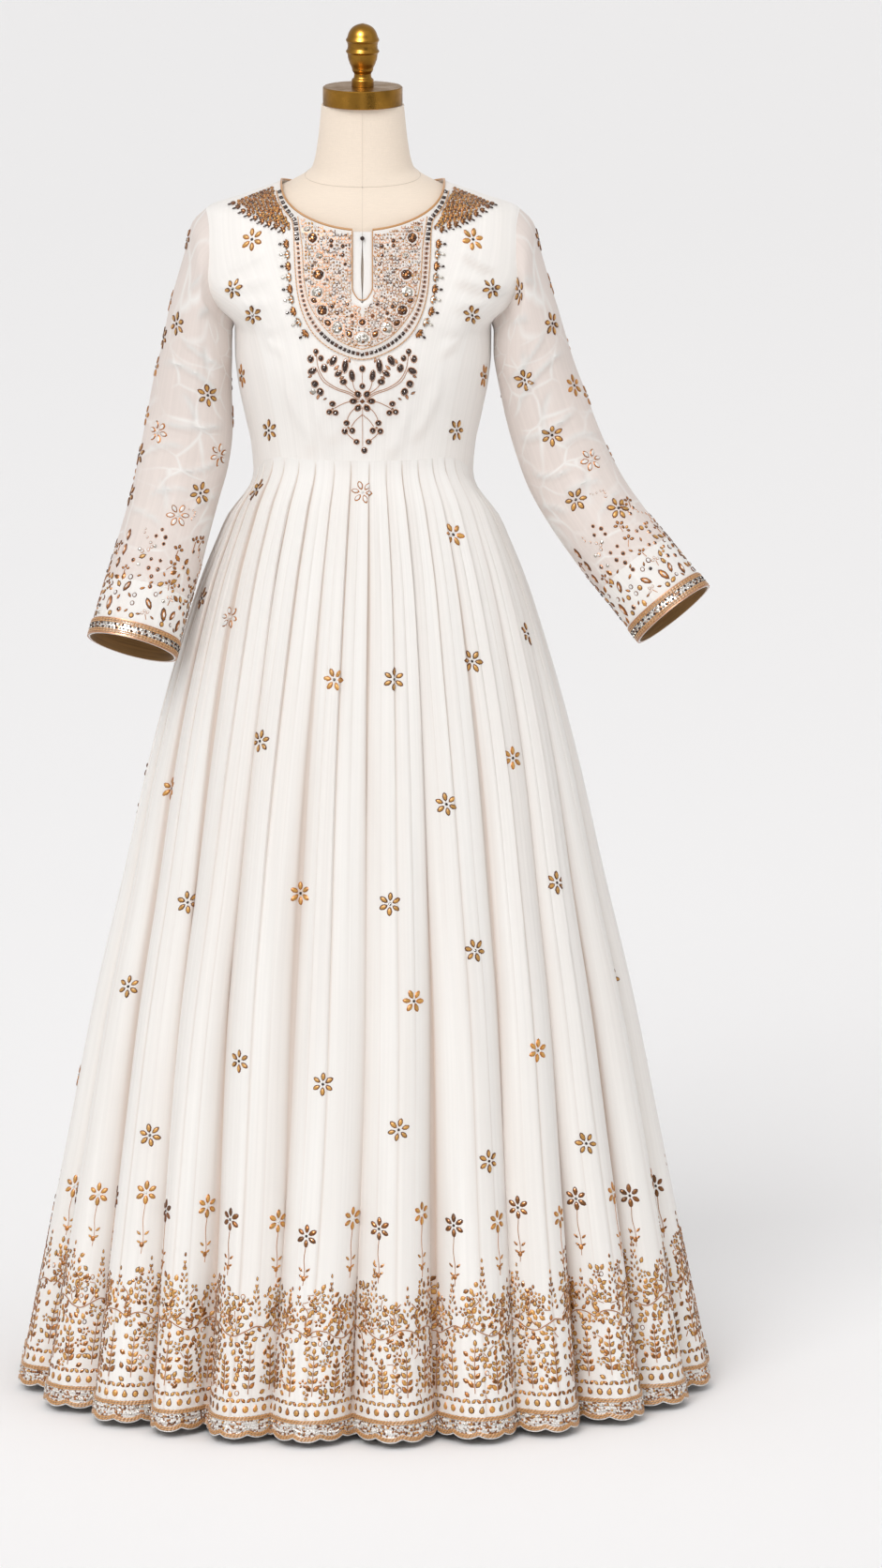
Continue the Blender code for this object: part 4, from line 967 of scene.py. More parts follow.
def cord_twist(name, tint, pitch=0.0026):
    """Couched cord: two plies twisted, seen as slanting bands along its run, painted lighter on the ridges
    of the plies and darker in the grooves between them as painted light and shade.
    """
    made, tree = start_material(name, 0.5, Sheen_Weight=0.4, Sheen_Roughness=0.4)
    place = add(tree, "TexCoord", out="UV")
    turned = add(tree, "Mapping", Vector=place, Rotation=(0, 0, math.radians(38)))
    ply = add(tree, "TexWave", Vector=turned, Scale=0.314 / pitch, Distortion=0.4, out="Fac")
    # Painted light and shade: the bands are lighter where the plies rise and darker in the grooves,
    # following the bump.
    tone = add(tree, "MixRGB", Fac=ply, Color1=shifted(tint, 0.76), Color2=shifted(tint, 1.18))
    bump = add(tree, "Bump", Height=ply, Strength=0.7, Distance=0.0006)
    return joined(made, Base_Color=tone, Normal=bump)


def bronze_lining(name, tint):
    """Bronze satin lining: crosswise ribs with a brown and gold glint."""
    made, tree = start_material(name, 0.42, 0.25, Sheen_Weight=0.3)
    place = add(tree, "TexCoord", out="UV")
    flat = add(tree, "Mapping", Vector=place, Scale=(14.0, 420.0, 1.0))
    rib = add(tree, "TexNoise", Vector=flat, Scale=1.0, Detail=3.0)
    tone = add(tree, "MixRGB", Fac=rib, Color1=shifted(tint, 0.35), Color2=shifted(tint, 1.5))
    bump = add(tree, "Bump", Height=rib, Strength=0.5, Distance=0.0005)
    return joined(made, Base_Color=tone, Normal=bump)


def linen_cover(name, tint):
    """Linen, plain woven and stretched over padding: dry, with slubs 0.7 mm apart and 8 mm long."""
    made, tree = start_material(name, 0.88, Sheen_Weight=0.2, Specular_IOR_Level=0.2)
    place = add(tree, "TexCoord", out="Object")
    yarns = []
    for scale in ((1500.0, 1500.0, 120.0), (120.0, 120.0, 1500.0)):
        run = add(tree, "Mapping", Vector=place, Scale=scale)
        yarns.append(add(tree, "TexNoise", Vector=run, Scale=1.0))
    weave = add(tree, "Math", *yarns, operation="ADD")
    tone = add(tree, "MapRange", Value=weave, From_Min=0.7, From_Max=1.3)
    tone = add(tree, "MixRGB", Fac=tone, Color1=shifted(tint, 0.97), Color2=shifted(tint, 1.03))
    seam = add(tree, "Attribute", attribute_name="shade", out="Fac")
    seamed = add(tree, "MixRGB", Fac=seam, Color1=tone, Color2=shifted(tint, 0.72))
    bump = add(tree, "Bump", Height=weave, Strength=0.1, Distance=0.0004)
    return joined(made, Base_Color=seamed, Normal=bump)


def aged_brass(name, tint):
    """Brass, turned and brushed round, then aged: a warm metal with dull brown clouding."""
    made, tree = start_material(name, 0.3, 1.0)
    place = add(tree, "TexCoord", out="Object")
    lines = add(tree, "Mapping", Vector=place, Scale=(30.0, 30.0, 2500.0))
    brush = add(tree, "TexNoise", Vector=lines, Scale=1.0)
    cloud = add(tree, "TexNoise", Vector=place, Scale=45.0, Detail=4.0)
    worn = add(tree, "MapRange", Value=cloud, From_Min=0.35, From_Max=0.7)
    tone = add(tree, "MixRGB", Fac=worn, Color1=shifted(tint, 1.35), Color2=shifted(tint, 0.75))
    rough = add(tree, "MapRange", Value=cloud, From_Min=0.3, From_Max=0.7, To_Min=0.22, To_Max=0.42)
    bump = add(tree, "Bump", Height=brush, Strength=0.15, Distance=0.0002)
    return joined(made, Base_Color=tone, Roughness=rough, Normal=bump)


def satin_paint(name, tint):
    """Steel, powder painted: a satin cream coat with a fine orange peel and faint scuffs."""
    made, tree = start_material(name, 0.4, Coat_Weight=0.2)
    place = add(tree, "TexCoord", out="Object")
    scuff = add(tree, "TexNoise", Vector=place, Scale=25.0, Detail=6.0, Roughness=0.7)
    worn = add(tree, "MapRange", Value=scuff, From_Min=0.55, From_Max=0.75)
    tone = add(tree, "MixRGB", Fac=worn, Color1=tint, Color2=shifted(tint, 0.86))
    peel = add(tree, "TexNoise", Vector=place, Scale=700.0)
    bump = add(tree, "Bump", Height=peel, Strength=0.1, Distance=0.0002)
    return joined(made, Base_Color=tone, Normal=bump)


def backdrop_paper(name, tint):
    """Seamless backdrop paper: matt, with a very faint mottle, and a painted pool of light: paler round the
    stand and greyer further out.
    """
    made, tree = start_material(name, 0.9, Specular_IOR_Level=0.1)
    place = add(tree, "TexCoord", out="Object")
    mottle = add(tree, "TexNoise", Vector=place, Scale=3.0)
    mottle = add(tree, "MapRange", Value=mottle, To_Min=-0.02, To_Max=0.02)
    # Painted light: the paper greys with its distance from the stand.
    away = add(tree, "VectorMath", place, operation="LENGTH", out="Value")
    away = add(tree, "MapRange", Value=away, From_Min=0.4, From_Max=9.0)
    away = add(tree, "Math", away, 0.55, operation="POWER")
    grey = add(tree, "Math", away, mottle, operation="ADD", use_clamp=True)
    return joined(made, Base_Color=add(tree, "MixRGB", Fac=grey, Color1=tint, Color2=shifted(tint, 0.9)))


def make_material(name):
    keys = "ivory valley sheer lining tan gold brown pale rose bead silver linen brass steel".split()
    tints = ((*getattr(bpy.context.scene.gown_colours, key), 1.0) for key in keys)
    ivory, valley, sheer, lining, tan, gold, brown, pale, rose, bead, silver, linen, brass, steel = tints
    # veiled and whitened are the sleeve's crease colours: partly the sheer cloth lying doubled, partly a
    # painted highlight on the ridges.
    veiled, whitened, even = shifted(ivory, 0.98), shifted(ivory, 1.05), (1.0, None, 0.14)
    soot, black = (0.004, 0.004, 0.004, 1.0), (0.002, 0.002, 0.002, 1.0)
    maker, *values = {
        "ivory_georgette": (georgette, ivory, valley, 0.8, 0.25),
        "sheer_silk_georgette": (georgette, sheer, veiled, 0.8, 0.15, 0.88, whitened),
        # Painted light: the bodice's georgette is the same ivory made 7% lighter, with fainter clouds, to
        # brighten the bodice where it faces away from the light above.
        "bodice_georgette": (georgette, shifted(ivory, 1.07), valley, 0.8, 0.3, 1.0, None, 0.05),
        "lined_crepe": (georgette, ivory, valley, 0.78, 0.2, *even, 700.0),
        "tan_satin_piping": (georgette, shifted(tan, 1.05), shifted(tan, 0.7), 0.5, 0.5, *even, 900.0),
        "black_flag_cloth": (georgette, soot, black, 0.9, 0.0),
        "bronze_satin_lining": (bronze_lining, lining),
        "pale_gold_stitch": (thread, shifted(pale, 1.2), shifted(pale, 0.75), 0.45, 0.0014, 0.5, 0.1),
        "gold_satin_stitch": (thread, shifted(gold, 1.3), shifted(gold, 0.6), 0.42, 0.0016, 0.5, 0.15),
        "brown_stem_stitch": (thread, shifted(brown, 1.5), shifted(brown, 0.5), 0.6, 0.0012, 0.1),
        "rose_gold_filigree": (thread, shifted(rose, 1.2), shifted(rose, 0.7), 0.42, 0.0014, 0.4, 0.2),
        "ivory_thread": (thread, ivory, shifted(ivory, 0.8), 0.6, 0.0012, 0.4),
        "tan_twisted_cord": (cord_twist, tan),
        "antique_sequin": (stone, shifted(gold, 1.2), shifted(gold, 0.25), 0.32, 0.6, 0.3),
        "faceted_bronze_bead": (stone, shifted(bead, 2.5), bead, 0.2, 0.1, 0.2),
        "silver_bead": (stone, shifted(silver, 1.3), shifted(silver, 0.45), 0.28, 0.55, 0.5),
        "seed_bead_net": (bead_net, ivory, gold),
        "stretched_linen": (linen_cover, linen),
        "aged_brass": (aged_brass, brass),
        "satin_steel_paint": (satin_paint, steel),
        "backdrop_paper": (backdrop_paper, (*bpy.context.scene.gown_stage.paper, 1.0)),
    }[name]
    return maker(name, *values)


def material(name):
    return bpy.data.materials.get(name) or make_material(name)


# Handwork: small sewn things, laid on a cloth and joined into one mesh

LEAF = ((0, -0.5), (0.47, -0.2), (0.42, 0.17), (0, 0.5), (-0.42, 0.17), (-0.47, -0.2))
PETAL = (
    (0, -0.5), (0.34, -0.3), (0.5, 0.02), (0.34, 0.34),
    (0, 0.5), (-0.34, 0.34), (-0.5, 0.02), (-0.34, -0.3),
)
DROP = (
    (0, -0.5), (0.38, -0.4), (0.5, -0.12), (0.28, 0.22),
    (0, 0.5), (-0.28, 0.22), (-0.5, -0.12), (-0.38, -0.4),
)
DISC = tuple((0.5 * math.sin(math.radians(t)), 0.5 * math.cos(math.radians(t))) for t in range(360, 0, -45))
OUTLINES = {"leaf": (LEAF, 0.15), "petal": (PETAL, 0.17), "drop": (DROP, 0.15), "ring": (DISC, 0.17)}


@functools.cache
def sewn_shape(kind):
    """Points, faces and parts of a small thing of unit size: part 0 is its rim, part 1 its filling."""
    shape = bmesh.new()
    if kind in OUTLINES:
        outline, rim = OUTLINES[kind]
        base = shape.faces.new([shape.verts.new((x, y, 0)) for x, y in outline])
        grown = bmesh.ops.extrude_face_region(shape, geom=[base], use_keep_orig=True)["geom"]
        top = next(item for item in grown if isinstance(item, bmesh.types.BMFace))
        middle = top.calc_center_median()
        inset = (1 - 2.4 * rim, 1 - 2.0 * rim, 1)
        bmesh.ops.scale(shape, verts=top.verts, vec=inset, space=Matrix.Translation(-middle))
        bmesh.ops.translate(shape, verts=top.verts, vec=(0, 0, 1))
        filling = {top}
    elif kind == "tile":
        bmesh.ops.create_cube(shape, size=1)
        bmesh.ops.translate(shape, verts=shape.verts, vec=(0, 0, 0.4))
        edges = [edge for edge in shape.edges if min(vert.co.z for vert in edge.verts) > 0]
        bmesh.ops.bevel(shape, geom=edges, offset=0.2, affect="EDGES", segments=1, profile=0.5, material=-1)
        filling = set()
    else:
        bmesh.ops.create_icosphere(shape, subdivisions=2 if kind == "stone" else 1, radius=0.5)
        bmesh.ops.translate(shape, verts=shape.verts, vec=(0, 0, 0.35))
        filling = set()
    bmesh.ops.recalc_face_normals(shape, faces=shape.faces)
    shape.verts.index_update()
    points = np.array([vert.co[:] for vert in shape.verts])
    faces = [[vert.index for vert in face.verts] for face in shape.faces]
    parts = [int(face in filling) for face in shape.faces]
    shape.free()
    return points, faces, parts


class Handwork:
    """Small things sewn on one cloth. Places are in millimetres from the last starting point."""

    def __init__(self, cloth, seed, threads=None):
        self.cloth, self.threads = cloth, threads or THREADS
        self.uneven = random.Random(sizes().seed * 1000 + seed)
        self.points, self.faces, self.parts, self.shades, self.places = [], [], [], [], []
        self.count = 0
        self.start(0, 0)

    def start(self, column, row, turn=0.0, flip=1, scale=1.0):
        """Where the next things are placed from, turned clockwise, and mirrored where flip is -1."""
        self.origin, self.turn, self.flip, self.scale = (column, row), turn, flip, scale

    def start_at(self, x, z, **more):
        self.start(*self.cloth.find(x, z), **more)

    def way(self, x, y):
        """Right and up in metres for a place in millimetres."""
        x, y = np.asarray(x) * self.flip * self.scale / 1000, np.asarray(y) * self.scale / 1000
        return rotated(x, y, self.turn)

    def keep(self, points, faces, parts, shade, places):
        self.points.append(points)
        self.faces += [[i + self.count for i in face] for face in faces]
        self.parts += parts
        self.shades.append(np.full(len(points), shade))
        self.places.append(places)
        self.count += len(points)

    def tones(self):
        """Rim and filling of the next small leaf: most outlined in brown, some gold all over."""
        return self.uneven.choice(LEAF_TONES)

    def lay(self, kind, x, y, width, tall, turn=0.0, rim=0, fill=None, rise=1.1, shade=None):
        """One small thing, width by tall in millimetres, turned clockwise."""
        points, faces, parts = sewn_shape(kind)
        a, b = points[:, 0] * width * self.scale / 1000, points[:, 1] * tall * self.scale / 1000
        right, up = self.way(x, y)
        aside, along = rotated(a, b, turn * self.flip + self.turn)
        columns, rows = self.cloth.shift(*self.origin, right + aside, up + along)
        placed = self.cloth.at(columns, rows, points[:, 2] * rise / 1000 - 0.0002)
        fill = rim if fill is None else fill
        tone = self.uneven.uniform(0.15, 0.85) if shade is None else shade
        if self.cloth.handed < 0:
            faces = [face[::-1] for face in faces]
        self.keep(placed, faces, [fill if part else rim for part in parts], tone, np.stack([a, b], -1))

    def couch(self, path, radius, part=0, shade=0.5, steps=None):
        """A cord couched along a soft line through places in millimetres."""
        path = np.array(path, float)
        line = even_line(path, steps or max(2, int(lengths(path)[-1] / 2.2)))
        columns, rows = self.cloth.shift(*self.origin, *self.way(line[:, 0], line[:, 1]))
        self.couch_on(columns, rows, radius * self.scale, part, shade)

    def couch_on(self, columns, rows, radius, part=0, shade=0.5, sides=4):
        """A cord along these columns and rows of the cloth."""
        centre = self.cloth.at(columns, rows)
        out = unit(self.cloth.at(columns, rows, 0.001) - centre)
        way = unit(np.gradient(centre, axis=0) + 1e-12)
        aside = unit(np.cross(way, out) + 1e-12)
        radius = radius / 1000
        turns = np.linspace(0, 2 * math.pi, sides, endpoint=False) + math.pi / sides
        rings = [
            centre + aside * radius * math.cos(t) + out * radius * (0.55 + 0.9 * math.sin(t)) for t in turns
        ]
        count = len(centre)
        faces = []
        for i in range(count - 1):
            for k in range(sides):
                j = (k + 1) % sides
                faces.append([i * sides + k, (i + 1) * sides + k, (i + 1) * sides + j, i * sides + j])
        faces.append(list(range(sides)))
        faces.append([(count - 1) * sides + k for k in reversed(range(sides))])
        places = np.stack([np.tile(np.arange(sides) * radius, count), np.repeat(lengths(centre), sides)], -1)
        self.keep(np.stack(rings, 1).reshape(-1, 3), faces, [part] * len(faces), shade, places)

    def finish(self, name, slot="gold_thread_trim"):
        """The joined piece."""
        mesh = bpy.data.meshes.new(name)
        mesh.from_pydata(np.concatenate(self.points), [], self.faces)
        mesh.polygons.foreach_set("material_index", self.parts)
        shades = mesh.attributes.new("shade", "FLOAT", "POINT")
        shades.data.foreach_set("value", np.concatenate(self.shades))
        corner = np.zeros(len(mesh.loops), int)
        mesh.loops.foreach_get("vertex_index", corner)
        layer = mesh.uv_layers.new(name="UVMap")
        layer.data.foreach_set("uv", np.concatenate(self.places)[corner].ravel())
        shape = bmesh.new()
        shape.from_mesh(mesh)
        bpy.data.meshes.remove(mesh)
        return add_piece(name, shape, self.threads, slot, sharp=75)


def through(at, knots, values):
    """A soft curve through rows of points."""
    step = np.diff(knots)
    slope = np.diff(values, axis=0) / step[:, None]
    tangent = np.concatenate([slope[:1], (slope[1:] + slope[:-1]) / 2, slope[-1:]])
    i = np.clip(np.searchsorted(knots, at, "right") - 1, 0, len(knots) - 2)
    t = ((at - knots[i]) / step[i])[:, None]
    wide = step[i][:, None]
    return (
        values[i] * (1 + 2 * t) * (1 - t) ** 2
        + values[i + 1] * t**2 * (3 - 2 * t)
        + wide * (tangent[i] * t * (1 - t) ** 2 - tangent[i + 1] * t**2 * (1 - t))
    )


# The threads and beads of a piece of handwork, in this order
BROWN, GOLD, BEAD, SILVER, ROSE, IVORY, SEQUIN, CORD, PALE = range(9)
THREADS = (
    "brown_stem_stitch",
    "gold_satin_stitch",
    "faceted_bronze_bead",
    "silver_bead",
    "rose_gold_filigree",
    "ivory_thread",
    "antique_sequin",
    "tan_twisted_cord",
    "pale_gold_stitch",
)
# Rim and filling of small leaves
LEAF_TONES = ((BROWN, PALE), (BROWN, GOLD), (GOLD, PALE), (BROWN, PALE), (GOLD, SEQUIN))


FERN_PAIRS, FERN_LEAF = 5, 11.4


def flower(work, x, y, rim, fill, centre, turn=0.0):
    """An open flower of six almond petals round a bead."""
    tall = sizes().petal * 1000
    for i in range(6):
        angle = turn + 60 * i
        grown = tall * work.uneven.uniform(0.92, 1.08)
        place = off(x, y, tall * 0.76, angle)
        work.lay("petal", *place, grown * 0.58, grown, angle, rim, fill, rise=1.5)
    work.lay("bead", x, y, tall * 0.34, tall * 0.34, 0, centre, rise=2.0)


def trefoil(work, x, y, size, turn, tones=None, stem=True):
    """Three petals on a short stem."""
    for angle in (-68, 0, 68):
        place = off(x, y, size * 0.72, turn + angle)
        work.lay("petal", *place, size * 0.72, size, turn + angle, *(tones or work.tones()))
    if stem:
        work.couch([(x, y), off(x, y, size * 1.4, turn + 180)], 0.5, GOLD, steps=3)


def fern(work, x, y, tall, bend):
    """A stem with paired leaves that shrink towards its tip."""
    work.couch([(x + bend * t * t, y + tall * t) for t in (0, 0.35, 0.7, 1)], 0.6, GOLD)
    for i in range(FERN_PAIRS):
        t = (i + 0.6) / (FERN_PAIRS + 0.4)
        grown = FERN_LEAF * (1 - 0.35 * t) * work.uneven.uniform(0.9, 1.1)
        for side in (-1, 1):
            spread = 40 + work.uneven.uniform(-6, 6)
            aside = x + bend * t * t + side * grown * 0.62 * math.sin(math.radians(spread))
            up = y + tall * t + grown * 0.5 * math.cos(math.radians(spread))
            work.lay("leaf", aside, up, grown * 0.6, grown, side * spread, *work.tones())
    tip = y + tall + FERN_LEAF * 0.3
    work.lay("leaf", x + bend, tip, FERN_LEAF * 0.5, FERN_LEAF * 0.8, 0, *work.tones())


def spire(work, x, y, tall, wide):
    """A narrow upright cluster of small petals that comes to a point."""
    rows = max(3, int(tall / 6.5))
    for i in range(rows):
        t = i / rows
        spread = wide * (1 - t) / 2
        grown = 6.6 - 1.6 * t
        for side in (-1, 1):
            aside = x + side * spread + work.uneven.uniform(-0.6, 0.6)
            work.lay("leaf", aside, y + tall * t, grown * 0.62, grown, side * 24, *work.tones())
        if i % 2 == 0:
            work.lay("petal", x, y + tall * t + 3, grown * 0.5, grown * 0.9, 0, *work.tones())
    work.lay("leaf", x, y + tall + 2, 3.4, 6.4, 0, *work.tones())


def ringlet(work, x, y, size, centre=IVORY, rim=BROWN):
    """A small stitched ring round a pale middle."""
    work.lay("ring", x, y, size, size * 1.1, 0, rim, centre)


def vine(work, path, leaf):
    """A wandering stem with a leaf at each side by turns, as far apart as they are long."""
    work.couch(path, 0.7, GOLD)
    path = np.array(path, float)
    knots = lengths(path)
    stops = np.arange(leaf / 2, knots[-1], leaf)
    line, ahead = through(stops, knots, path), through(stops + 0.5, knots, path)
    for i, ((x, y), (a, b)) in enumerate(zip(line, ahead)):
        turn = math.degrees(math.atan2(a - x, b - y)) + (52 if i % 2 else -52)
        work.lay("leaf", *off(x, y, leaf * 0.6, turn), leaf * 0.58, leaf, turn, *work.tones())


# Designs of the gown, in millimetres

VINE_HEIGHT, FILLER_STEP, FILLER_ROWS = 122, 8.3, 17


def blossom(work, x, y, size):
    """A small open flower of plump petals."""
    turn = work.uneven.uniform(0, 72)
    tones = work.tones()
    for i in range(5):
        work.lay("leaf", *off(x, y, size * 0.78, turn + 72 * i), size * 0.72, size, turn + 72 * i, *tones)


def hem_wave(t, odd):
    """How far the hem's long vine sways, over one repeat."""
    return 6 * math.sin(9.0 * t + odd)


def hem_repeat(work, odd, wide):
    """One repeat of the hem's embroidery, from the border up."""
    shake = work.uneven.uniform
    ferns = ((wide * 0.13, 50, 50 + 6 * odd), (wide * 0.46, 47, 40), (wide * 0.8, 48, 54 - 6 * odd))
    for x, y, tall in ferns:
        fern(work, x, y, tall, shake(-4, 4))
    vine(work, [(wide * t, VINE_HEIGHT + hem_wave(t, odd)) for t in np.linspace(-0.02, 1.0, 8)], 9.0)
    for x in (wide * 0.06, wide * 0.55):
        side = 1 if odd else -1
        vine(work, [(x, VINE_HEIGHT), (x + side * 9, 134), (x + side * 6, 148), (x + side * 15, 158)], 8.0)
    spires = ((wide * 0.3, 146, 44 + 14 * odd), (wide * 0.82, 142, 40 - 8 * odd))
    for x, y, tall in spires:
        spire(work, x, y, tall, 12)
    stems = [(x, y - 6, y + tall + 10, 9.0) for x, y, tall in ferns]
    stems += [(x, y - 4, y + tall + 8, 8.0) for x, y, tall in spires]
    count = round(wide / 12.5)
    for i in range(count):
        x = wide * (i + 0.5) / count
        if (i + odd) % 2:
            ringlet(work, x, 30, 8.6, PALE, work.uneven.choice((BROWN, GOLD)))
        else:
            work.lay("drop", x, 30.5, 7.4, 10.5, shake(-20, 20), *work.tones())
        for side in (-1, 1):
            work.lay("leaf", x + side * 3.6, 40.5, 4.8, 8.0, side * 46, *work.tones())
    for row in range(FILLER_ROWS):
        for column in range(int(wide / FILLER_STEP)):
            x = FILLER_STEP * (column + 0.5 * (row % 2)) + shake(-1.8, 1.8)
            up = 49 + 8.1 * row + shake(-1.6, 1.6)
            top = 176 + 14 * math.sin(2 * math.pi * x / wide + odd) + shake(-14, 8)
            if up > top or abs(up - VINE_HEIGHT - hem_wave(x / wide, odd)) < 6.0:
                continue
            if any(abs(x - a) < reach and low < up < high for a, low, high, reach in stems):
                continue
            choice = shake(0, 1)
            if choice < 0.12:
                tones = work.uneven.choice((PALE, IVORY)), work.uneven.choice((BROWN, GOLD))
                ringlet(work, x, up, 6.6, *tones)
            elif choice < 0.4:
                trefoil(work, x, up, 5.8, shake(-90, 90), stem=choice < 0.26)
            elif choice < 0.5:
                blossom(work, x, up, 4.8)
            else:
                work.lay("leaf", x, up, 6.4, 9.4, shake(-75, 75), *work.tones())


def hem_spray(work, dark, tall):
    """A flower on a thin stem with a bow of two leaves, which rises from the embroidery's top."""
    fill, rim = (SEQUIN, BROWN) if dark else (PALE, GOLD)
    work.couch([(0, 0), (1, tall * 0.35), (-1, tall * 0.7), (0, tall)], 0.45, GOLD if dark else ROSE)
    ringlet(work, 0, tall * 0.18, 6.4, GOLD, GOLD)
    for side in (-1, 1):
        work.lay("leaf", side * 5, tall * 0.42, 3.4, 8.0, side * 48, GOLD, fill)
        work.lay("leaf", side * 4, tall * 0.24, 3.2, 6.4, side * 60, GOLD, fill)
    flower(work, 0, tall + 14, rim, fill, BEAD if dark else IVORY)


# Scattered flowers: x and z on the front of the skirt, and their tone: 2 dark, 1 gold, 0 pale
SKIRT_FLOWERS = (
    (0.0, 1.102, 0), (-0.127, 1.093, 2), (-0.188, 0.965, 2), (-0.156, 0.951, 0), (-0.033, 0.89, 1),
    (0.037, 0.89, 2), (-0.12, 0.815, 2), (-0.255, 0.752, 2), (-0.222, 0.743, 1), (-0.072, 0.642, 1),
    (-0.206, 0.62, 2), (0.032, 0.633, 2), (-0.278, 0.508, 2), (-0.145, 0.446, 2), (-0.046, 0.425, 2),
    (-0.251, 0.346, 2), (0.106, 1.05, 1), (0.128, 0.905, 2), (0.176, 0.79, 1), (0.098, 0.745, 2),
    (0.132, 0.575, 2), (0.228, 0.64, 2), (0.042, 0.372, 2), (0.205, 0.452, 1), (0.29, 0.505, 2),
    (0.148, 0.33, 2), (0.262, 0.335, 2), (0.196, 0.925, 2), (0.06, 0.52, 1),
)
# The same on the back, by share across and height above the hem
BACK_FLOWERS = (
    (0.08, 0.98, 2), (0.22, 1.02, 1), (0.4, 0.97, 2), (0.58, 1.03, 0), (0.76, 0.98, 2), (0.92, 1.02, 2),
    (0.15, 0.84, 2), (0.32, 0.86, 2), (0.5, 0.82, 1), (0.67, 0.87, 2), (0.85, 0.83, 1), (0.06, 0.68, 1),
    (0.24, 0.7, 2), (0.42, 0.66, 2), (0.6, 0.71, 2), (0.78, 0.67, 1), (0.95, 0.7, 2), (0.14, 0.53, 2),
    (0.33, 0.52, 1), (0.51, 0.54, 2), (0.7, 0.51, 2), (0.88, 0.54, 2), (0.05, 0.38, 2), (0.23, 0.37, 2),
    (0.42, 0.39, 1), (0.61, 0.36, 2), (0.8, 0.39, 2), (0.96, 0.36, 1),
)
RIGHT_SLEEVE_FLOWERS = (
    (-0.218, 1.29, 2), (-0.182, 1.207, 2), (-0.241, 1.162, 0), (-0.154, 1.172, 1), (-0.169, 1.134, 0),
    (-0.191, 1.092, 2), (-0.206, 1.384, 2), (-0.234, 1.269, 2), (-0.244, 1.233, 1), (-0.263, 1.132, 2),
    (-0.274, 1.084, 2), (-0.217, 1.068, 0), (-0.17, 1.345, 1),
)
LEFT_SLEEVE_FLOWERS = (
    (0.206, 1.384, 2), (0.184, 1.33, 2), (0.222, 1.29, 2), (0.19, 1.225, 2), (0.248, 1.215, 1),
    (0.222, 1.16, 2), (0.268, 1.13, 0), (0.25, 1.085, 2), (0.3, 1.075, 2),
)
BODICE_FLOWERS = ((0.129, 1.395, 1), (0.152, 1.338, 2), (0.128, 1.308, 2))
SIDE_FLOWERS = ((0.142, 1.228, 1), (0.11, 1.168, 2))
BACK_BODICE_FLOWERS = (
    (0.035, 1.385, 1), (0.11, 1.392, 2), (0.07, 1.34, 2), (0.03, 1.29, 1), (0.09, 1.275, 2),
    (0.06, 1.225, 2), (0.025, 1.185, 1), (0.08, 1.16, 2),
)

# The long creases of the cloths: from x, y to x, y in metres, bow, width and depth
FRONT_CREASES = (
    (0.165, 0.205, 0.09, 0.2, 0.006, 0.005, 0.0038), (0.172, 0.224, 0.1, 0.232, 0.005, 0.0045, 0.0034),
    (0.17, 0.24, 0.104, 0.262, 0.004, 0.005, 0.0034), (0.16, 0.262, 0.112, 0.292, 0.003, 0.0045, 0.0027),
    (0.15, 0.192, 0.085, 0.168, -0.005, 0.006, 0.003), (0.092, 0.15, 0.055, 0.06, 0.004, 0.008, 0.0027),
    (0.06, 0.12, 0.03, 0.02, -0.004, 0.009, 0.0023),
)
BACK_CREASES = (
    (0.16, 0.2, 0.08, 0.215, 0.006, 0.006, -0.0016), (0.165, 0.23, 0.09, 0.26, 0.005, 0.005, 0.0016),
    (0.15, 0.18, 0.07, 0.15, -0.006, 0.007, 0.0016), (0.08, 0.12, 0.04, 0.03, 0.004, 0.009, -0.0014),
    (0.03, 0.1, 0.012, 0.01, 0.002, 0.009, 0.001),
)
# Round the sleeve from its top line, then up from the cuff's rim
SLEEVE_CREASES = (
    (0.02, 0.33, 0.12, 0.3, 0.01, 0.003, 0.003), (0.12, 0.345, 0.045, 0.372, 0.012, 0.0026, 0.0026),
    (0.03, 0.262, 0.13, 0.282, -0.012, 0.003, 0.0032), (0.125, 0.24, 0.06, 0.205, 0.01, 0.0026, 0.0028),
    (0.015, 0.215, 0.085, 0.232, 0.008, 0.003, 0.0026), (0.1, 0.185, 0.04, 0.165, -0.008, 0.0026, 0.0026),
    (0.14, 0.2, 0.095, 0.16, -0.006, 0.0028, 0.0024), (0.018, 0.15, 0.075, 0.135, 0.006, 0.0026, 0.0022),
    (0.04, 0.41, 0.11, 0.44, 0.008, 0.0034, 0.0024), (0.12, 0.405, 0.07, 0.385, -0.006, 0.003, 0.0024),
    (0.2, 0.33, 0.29, 0.3, 0.01, 0.0034, 0.0028), (0.19, 0.25, 0.28, 0.27, -0.01, 0.003, 0.003),
    (0.21, 0.2, 0.29, 0.18, 0.008, 0.003, 0.0024), (0.2, 0.395, 0.28, 0.42, 0.008, 0.0034, 0.0024),
    (0.235, 0.15, 0.3, 0.165, -0.006, 0.0028, 0.0022), (0.06, 0.3, 0.09, 0.25, 0.006, 0.004, -0.0024),
    (0.085, 0.365, 0.1, 0.32, -0.006, 0.004, -0.0022), (0.05, 0.195, 0.07, 0.15, 0.005, 0.0036, -0.002),
)

